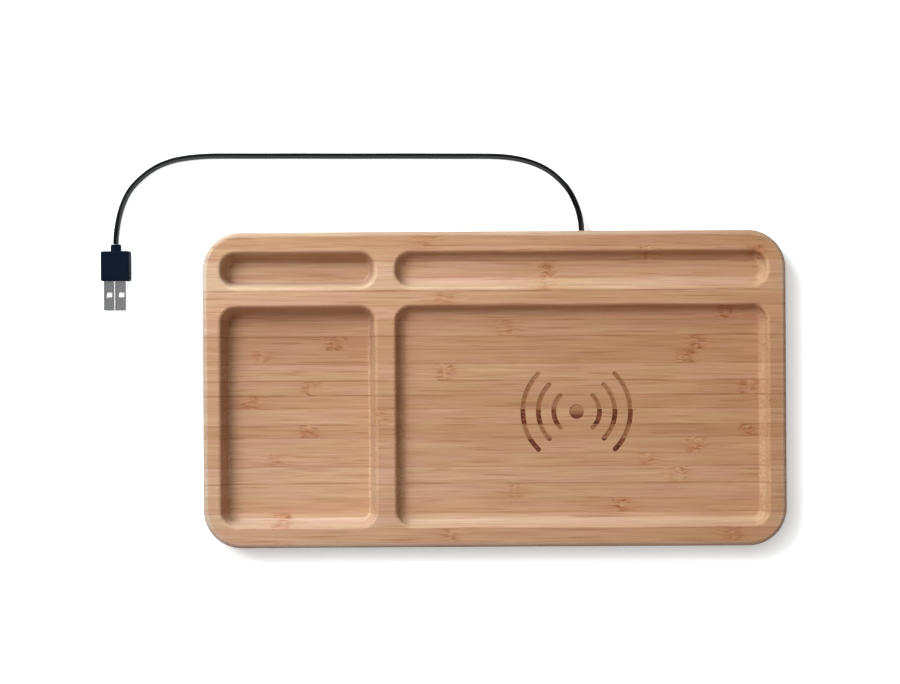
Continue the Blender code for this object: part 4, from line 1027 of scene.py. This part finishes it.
def make_cover():
    low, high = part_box("base_cover")
    mesh = block("module_cover", high - low, COVER_CORNER_RADIUS - SEAT_GAP, COVER_CORNER_SEGMENTS)
    cover = new_piece("module_cover", mesh, (low + high) / 2)
    round_edges(cover, COVER_EDGE_ROUND, COVER_EDGE_SEGMENTS)
    bottom = low.z - CUT_OVERRUN
    widening = (COVER_SINK_RADIUS - COVER_HOLE_RADIUS) / COVER_SINK_DEPTH * CUT_OVERRUN
    cutters = []
    for node in numbered("cover_screw"):
        place = seat(node)[0]
        cutters += [
            hole_cutter(COVER_HOLE_RADIUS, bottom, high.z + CUT_OVERRUN, place, COVER_HOLE_SEGMENTS),
            hole_cutter(COVER_SINK_RADIUS + widening, bottom, low.z + COVER_SINK_DEPTH, place,
                        COVER_HOLE_SEGMENTS, COVER_HOLE_RADIUS),
        ]
    carve(cover, cutters)
    dress(cover, "cover_plastic", ["base_cover"],
          mottled("cover_plastic", (0.026, 0.026, 0.028), (0.036, 0.036, 0.038), 0.35, (0.5, 0.65),
                  0.00004))


def make_grommet():
    """A rubber ring in the rear wall. Its axis is turned from Z to the way out, +Y."""
    low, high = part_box("cable_grommet")
    outer, length = (high.x - low.x) / 2, high.y - low.y
    profile = [(CABLE_BORE_RADIUS, 0), (outer, 0),
               *arc((outer - GROMMET_ROUND, length - GROMMET_ROUND), GROMMET_ROUND, 0, 1),
               (CABLE_BORE_RADIUS, length)]
    grommet = new_piece("grommet_ring", turned("grommet_ring", profile), (EXIT_X, low.y, CABLE_HEIGHT),
                        (-math.pi / 2, 0, 0))
    dress(grommet, "rubber", ["cable_grommet"],
          mottled("grommet_rubber", (0.020, 0.020, 0.020), (0.030, 0.030, 0.030), 0.5, (0.7, 0.85),
                  0.00002))


def screw_profile(kind, head, head_height, shank, length):
    """The heads, from the middle out: countersunk for the cover, low domes for the others."""
    if kind == "cover_screw":
        profile = [(0, 0), (head, 0), (head, SCREW_LIP_SHARE * head_height)]
    else:
        dome = SCREW_DOME_SHARE * head_height
        profile = [(0, 0), *arc((head - dome, dome), dome, -1, 0), (head, head_height)]
    rows = np.arange(head_height + THREAD_PITCH, length - 2 * shank, THREAD_PITCH / THREAD_STEPS)
    return [*profile, (shank, head_height), *[(shank, height) for height in rows], (0, length)]


def make_screws():
    steel = metal("screw_steel", (0.56, 0.56, 0.57), (0.44, 0.44, 0.45), (0.22, 0.36))
    for kind, (head_height, shank) in SCREWS.items():
        def thread(height, turn, start=head_height + THREAD_PITCH):
            if height < start:
                return 1.0
            return 1.0 - THREAD_SHARE * abs(2 * ((height / THREAD_PITCH - turn) % 1.0) - 1.0)

        for node in numbered(kind):
            place, head, length = seat(node)
            name = node.replace("_screw", "_fixing")
            mesh = turned(name, screw_profile(kind, head, head_height, shank, length), SCREW_SEGMENTS,
                          thread)
            screw = new_piece(name, mesh, place)
            arm = (head * CROSS_LENGTH_SHARE, CROSS_WIDTH, 2 * head_height * CROSS_DEPTH_SHARE)
            carve(screw, [new_piece("arm", block("arm", size), place)
                          for size in (arm, (arm[1], arm[0], arm[2]))])
            dress(screw, "screw_steel", [node], steel)


# Charging module

def coil_path():
    """One wire: in from the board under the turns, up in the middle, round, and out to the board."""
    lead, bend, edge = COIL_LEAD_X, COIL_BEND_RADIUS, COIL_EDGE
    turn_y = math.sqrt(COIL_CLIMB_RADIUS ** 2 - (lead - bend) ** 2)
    end_y = edge + COIL_PAD_LENGTH
    path = [(lead, end_y, COIL_PAD_HEIGHT), (lead, edge + COIL_EDGE_STEP, COIL_PAD_HEIGHT),
            (lead, edge, COIL_UNDER_HEIGHT)]
    path += [(lead, y, COIL_UNDER_HEIGHT)
             for y in np.linspace(edge - 2 * COIL_EDGE_STEP, turn_y + bend, COIL_LEAD_POINTS)]
    path += [(x, y, COIL_UNDER_HEIGHT)
             for x, y in arc((lead - bend, turn_y + bend), bend, 0, -1, COIL_BEND_POINTS - 1)[1:]]

    start = math.pi / 2
    for i in range(1, COIL_TURNS * COIL_POINTS_PER_TURN + 1):
        turned_by = i * math.tau / COIL_POINTS_PER_TURN
        climbed = ease(turned_by / COIL_CLIMB_ANGLE)
        widened = ease(turned_by / COIL_CLIMB_ANGLE - 1)
        spiral = COIL_INNER_RADIUS + COIL_PITCH * turned_by / math.tau
        radius = COIL_CLIMB_RADIUS + (spiral - COIL_CLIMB_RADIUS) * widened
        path.append((*polar(radius, start + turned_by),
                     COIL_UNDER_HEIGHT + (COIL_HEIGHT - COIL_UNDER_HEIGHT) * climbed))

    outer = COIL_INNER_RADIUS + COIL_PITCH * COIL_TURNS
    leave = arc((-bend, outer + bend), bend, -1, -2, COIL_BEND_POINTS - 1)
    path += [(x, y, COIL_HEIGHT) for x, y in leave[1:]]
    out_x, out_y = leave[-1]
    out_y = max(edge, out_y + COIL_EDGE_STEP)
    path += [(out_x, out_y, COIL_HEIGHT), (out_x, out_y + COIL_EDGE_STEP, COIL_PAD_HEIGHT),
             (out_x, end_y, COIL_PAD_HEIGHT)]
    return [(MODULE_CENTRE[0] + x, MODULE_CENTRE[1] + y, z) for x, y, z in path]


def make_coil():
    mesh = swept("wound_coil", smooth_route(coil_path(), COIL_RINGS), [COIL_WIRE_RADIUS] * COIL_RINGS,
                 COIL_SECTION_SHARES, COIL_TWIST)
    copper = metal("copper", (0.80, 0.36, 0.17), (0.64, 0.26, 0.11), (0.24, 0.38))
    dress(new_piece("wound_coil", mesh), "copper", ["coil"], copper, smooth=COIL_SMOOTH_ANGLE)


def make_inner_cable():
    """The jacket's end inside the tray, and the two wires with their bare, tinned ends."""
    radius = CABLE_DIAMETER / 2
    ys = [INNER_REAR, INNER_REAR - JACKET_ROUND, JACKET_END + JACKET_ROUND, JACKET_END]
    radii = [radius - JACKET_ROUND / 2, radius, radius, radius - JACKET_ROUND / 2]
    mesh = swept("inner_lead", [(EXIT_X, y, CABLE_HEIGHT) for y in ys], radii, [1.0] * JACKET_SIDES)
    jacket = mottled("inner_jacket", (0.010, 0.010, 0.011), (0.014, 0.014, 0.015), 0.6, (0.36, 0.46),
                     0.00001)
    dress(new_piece("inner_lead", mesh), "cable_jacket", ["inner_cable"], jacket)

    tin = metal("tinned_copper", (0.78, 0.76, 0.72), (0.62, 0.60, 0.56), (0.24, 0.36), (0.2, 1.5, 0.2))
    start = JACKET_END - SEAT_GAP
    bare_from = WIRE_END + WIRE_BARE_LENGTH
    ys = sorted([*np.linspace(start, WIRE_END, WIRE_POINTS), bare_from], reverse=True)
    radii = [WIRE_RADIUS if y >= bare_from else WIRE_CORE_RADIUS for y in ys]
    for node, slot, side, *colours in (
            ("supply_wire", "wire_red", 1, (0.46, 0.020, 0.016), (0.56, 0.030, 0.022)),
            ("ground_wire", "wire_black", -1, (0.012, 0.012, 0.012), (0.018, 0.018, 0.018))):
        near, far = side * (WIRE_RADIUS + SEAT_GAP), side * WIRE_SPREAD / 2
        points = []
        for y in ys:
            share = ease((start - y) / (start - WIRE_END) / WIRE_BEND_SHARE)
            points.append((EXIT_X + near + (far - near) * share, y,
                           CABLE_HEIGHT + (WIRE_END_HEIGHT - CABLE_HEIGHT) * share))
        name = node.replace("wire", "lead")
        wire = new_piece(name, swept(name, points, radii, [1.0] * WIRE_SIDES))
        dress(wire, slot, [node], mottled(name + "_skin", *colours, 0.5, (0.34, 0.46), 0.00001), tin)
        for face in wire.data.polygons:
            face.material_index = int(face.center.y < bare_from - JACKET_ROUND / 4)


# CAD nodes that keep their shapes

def board_material():
    """Green solder mask over copper tracks, with tinned vias."""
    g = Material("board_mask")
    place = g.place()
    flat = g.value("CombineXYZ", *place[:2], 0.0)
    lines = g.value("TexBrick", named={
        "Vector": flat, "Scale": 1.0, "Mortar Size": 0.16, "Mortar Smooth": 0.1, "Brick Width": 5.2,
        "Row Height": 1.3}, out="Fac", offset=0.37, squash=1.6, squash_frequency=3)
    patches = g.clouds(place, 9, (0.46, 0.50), 1.0)
    track = g.math("MAXIMUM", lines * patches, 1.0 - patches)
    aside = g.value("TexVoronoi", named={"Vector": flat, "Scale": 0.28}, out="Distance", feature="F1")
    via = g.fit(aside * (1 / 0.28), 0.42, 0.36)
    grain = g.clouds(place, 0.6)
    colour = g.mix(track, (0.010, 0.085, 0.040), (0.022, 0.160, 0.075))
    colour = g.mix(via, g.tint(colour, grain, (0.90, 0.92, 0.90)), (0.62, 0.60, 0.55))
    g.bump(track + via, 0.00003, 0.6)
    return g.finish(colour, g.fit(grain, 0.0, 1.0, 0.32, 0.42))


def ended(name, colour, other):
    """A small block part with a metal cap at each end of its length."""
    g = Material(name)
    cap = g.fit(abs(g.parts("Generated")[0] - 0.5), 0.34, 0.36)
    grain = g.clouds(g.place(), 0.4)
    g.bump(grain, 0.00001, 0.5)
    g.feed(g.shader.inputs["Metallic"], cap)
    colour = g.mix(cap, g.mix(grain, colour, other), (0.70, 0.69, 0.66))
    return g.finish(colour, g.fit(grain, 0.0, 1.0, 0.32, 0.46))


def chip_material():
    """Black epoxy with a round dimple that marks the first pin."""
    g = Material("chip_epoxy")
    u, v = [g.math("POWER", part - 0.18, 2.0) for part in g.parts("Generated")[:2]]
    dimple = g.fit(u + v, 0.0046, 0.0036)
    grain = g.clouds(g.place(), 0.25)
    g.bump(grain * 0.3 + dimple * -1.0, 0.00003)
    colour = g.mix(grain, (0.018, 0.018, 0.020), (0.028, 0.028, 0.030))
    return g.finish(g.tint(colour, dimple, (1.6, 1.6, 1.6)), g.fit(grain, 0.0, 1.0, 0.42, 0.58))


def dress_nodes():
    nylon = mottled("nylon", (0.74, 0.73, 0.68), (0.80, 0.79, 0.75), 0.6, (0.4, 0.55), 0.00001)
    chip = chip_material()
    finishes = {
        "circuit_board": board_material(),
        "board_spacer": nylon,
        "cable_clamp": nylon,
        "insulation_pad": mottled("pad_film", (0.66, 0.64, 0.57), (0.74, 0.72, 0.66), 1.2, (0.3, 0.45),
                                  0.00001),
        "ferrite_disc": mottled("ferrite", (0.045, 0.045, 0.048), (0.070, 0.068, 0.070), 0.5, (0.5, 0.7),
                                0.00003),
        "controller_chip": chip,
        "bridge_chip": chip,
        "resonance_capacitor": ended("ceramic", (0.42, 0.28, 0.16), (0.48, 0.33, 0.20)),
        "input_capacitor": ended("input_ceramic", (0.36, 0.25, 0.16), (0.42, 0.30, 0.19)),
        "sense_resistor": ended("resistor", (0.016, 0.016, 0.018), (0.024, 0.024, 0.026)),
        "filter_inductor": mottled("inductor_ferrite", (0.060, 0.058, 0.060), (0.085, 0.082, 0.082), 0.4,
                                   (0.5, 0.65), 0.00002),
        "plug_insulator": mottled("insulator_plastic", (0.78, 0.78, 0.77), (0.84, 0.84, 0.83), 0.6,
                                  (0.35, 0.45), 0.00001),
        "plug_contact": metal("gold", (0.90, 0.64, 0.26), (0.78, 0.53, 0.18), (0.18, 0.30)),
    }
    for name, node in NODES.items():
        kind = name.rstrip("_0123456789")
        if kind in finishes:
            node.material_slots[0].material = finishes[kind]


# Floor and lights

# Soft square lights: place, size, colour and power
LIGHTS = {
    "window": ((-0.755, 0.633, 1.281), 0.80, (1.0, 1.0, 1.0), 23.3),
    "lamp": ((-0.258, 0.448, 0.208), 0.30, (0.74, 0.92, 1.0), 3.10),
}
WORLD_COLOUR = (1.0, 0.64, 0.50)
WORLD_STRENGTH = 0.180
# In gloss: the side where the room is bright, how far round its light reaches, and its range
STUDIO_SIDE = (0.45, -0.89, 0.0)
STUDIO_REACH = (-0.26, 0.34)
STUDIO_STRENGTH = (0.0, 3.0)
FLOOR_SIZE = (8.0, 8.0, 0.002)
FLOOR_COLOUR = (0.90, 0.90, 0.90)
FLOOR_GLOW = (0.37, 0.85)
FLOOR_GLOW_REACH = 0.0118
FLOOR_GLOW_COLOUR = (0.91, 1.0, 1.02)


def empty_graph(owner):
    owner.use_nodes = True
    owner.node_tree.nodes.clear()
    return Graph(owner.node_tree)


def seen_rays(g):
    """1 for the rays that show the background: to the camera, and in gloss and glass."""
    camera, gloss, glass = [g.value("LightPath", out=f"Is {kind} Ray")
                            for kind in ("Camera", "Glossy", "Transmission")]
    return g.math("MAXIMUM", g.math("MAXIMUM", camera, gloss), glass)


def floor_glow(g):
    """The floor's own white, which fades the shadow with the distance from the tray's outline."""
    inner = (TRAY_HIGH.x - TRAY_CORNER_RADIUS, TRAY_HIGH.y - TRAY_CORNER_RADIUS, 1.0)
    place = g.value("VectorMath", g.value("TexCoord", out="Object"), operation="ABSOLUTE")
    place = g.value("VectorMath", place, inner, operation="SUBTRACT")
    place = g.value("VectorMath", place, (0, 0, 0), operation="MAXIMUM")
    distance = g.value("VectorMath", place, out="Value", operation="LENGTH")
    reach = (TRAY_CORNER_RADIUS, TRAY_CORNER_RADIUS + FLOOR_GLOW_REACH)
    return g.fit(distance, *reach, *FLOOR_GLOW, smooth=False)


def add_floor():
    floor = new_piece("floor", block("floor", FLOOR_SIZE), (0, 0, -FLOOR_SIZE[2] / 2))
    mat = bpy.data.materials.new("floor")
    g = empty_graph(mat)
    diffuse = g.value("BsdfDiffuse", FLOOR_COLOUR)
    glow = g.value("Emission", FLOOR_GLOW_COLOUR, seen_rays(g) * floor_glow(g))
    g.node("OutputMaterial", g.value("AddShader", diffuse, glow))
    floor.data.materials.append(mat)


def studio(g):
    """1 for the camera. Gloss shows a room that is bright to the front right and dark behind."""
    side = g.value("VectorMath", g.value("TexCoord", out="Generated"), STUDIO_SIDE, out="Value",
                   operation="DOT_PRODUCT")
    return g.math("MAXIMUM", g.value("LightPath", out="Is Camera Ray"),
                  g.fit(side, *STUDIO_REACH, *STUDIO_STRENGTH))


def add_world():
    world = bpy.data.worlds.new("world")
    bpy.context.scene.world = world
    g = empty_graph(world)
    soft = g.value("Background", WORLD_COLOUR, WORLD_STRENGTH)
    white = g.value("Background", (1, 1, 1), studio(g))
    g.node("OutputWorld", g.value("MixShader", seen_rays(g), soft, white))


def add_lights():
    """They face the tray's middle. Gloss shows the room and the floor, and not these lights."""
    for name, (place, size, colour, power) in LIGHTS.items():
        data = bpy.data.lights.new(name, "AREA")
        data.size = size
        data.color = colour
        data.energy = power
        light = bpy.data.objects.new(name, data)
        light.location = place
        light.rotation_euler = (-Vector(place)).to_track_quat("-Z", "Y").to_euler()
        light.visible_glossy = False
        light.visible_camera = False
        bpy.context.scene.collection.objects.link(light)


bpy.context.scene.view_settings.view_transform = "Standard"
add_camera()
cable = make_cable()
plug = make_plug()
cable_route()[0]
make_tray()
make_feet()
make_cover()
make_grommet()
make_screws()
make_coil()
make_inner_cable()
dress_nodes()
add_floor()
add_world()
add_lights()
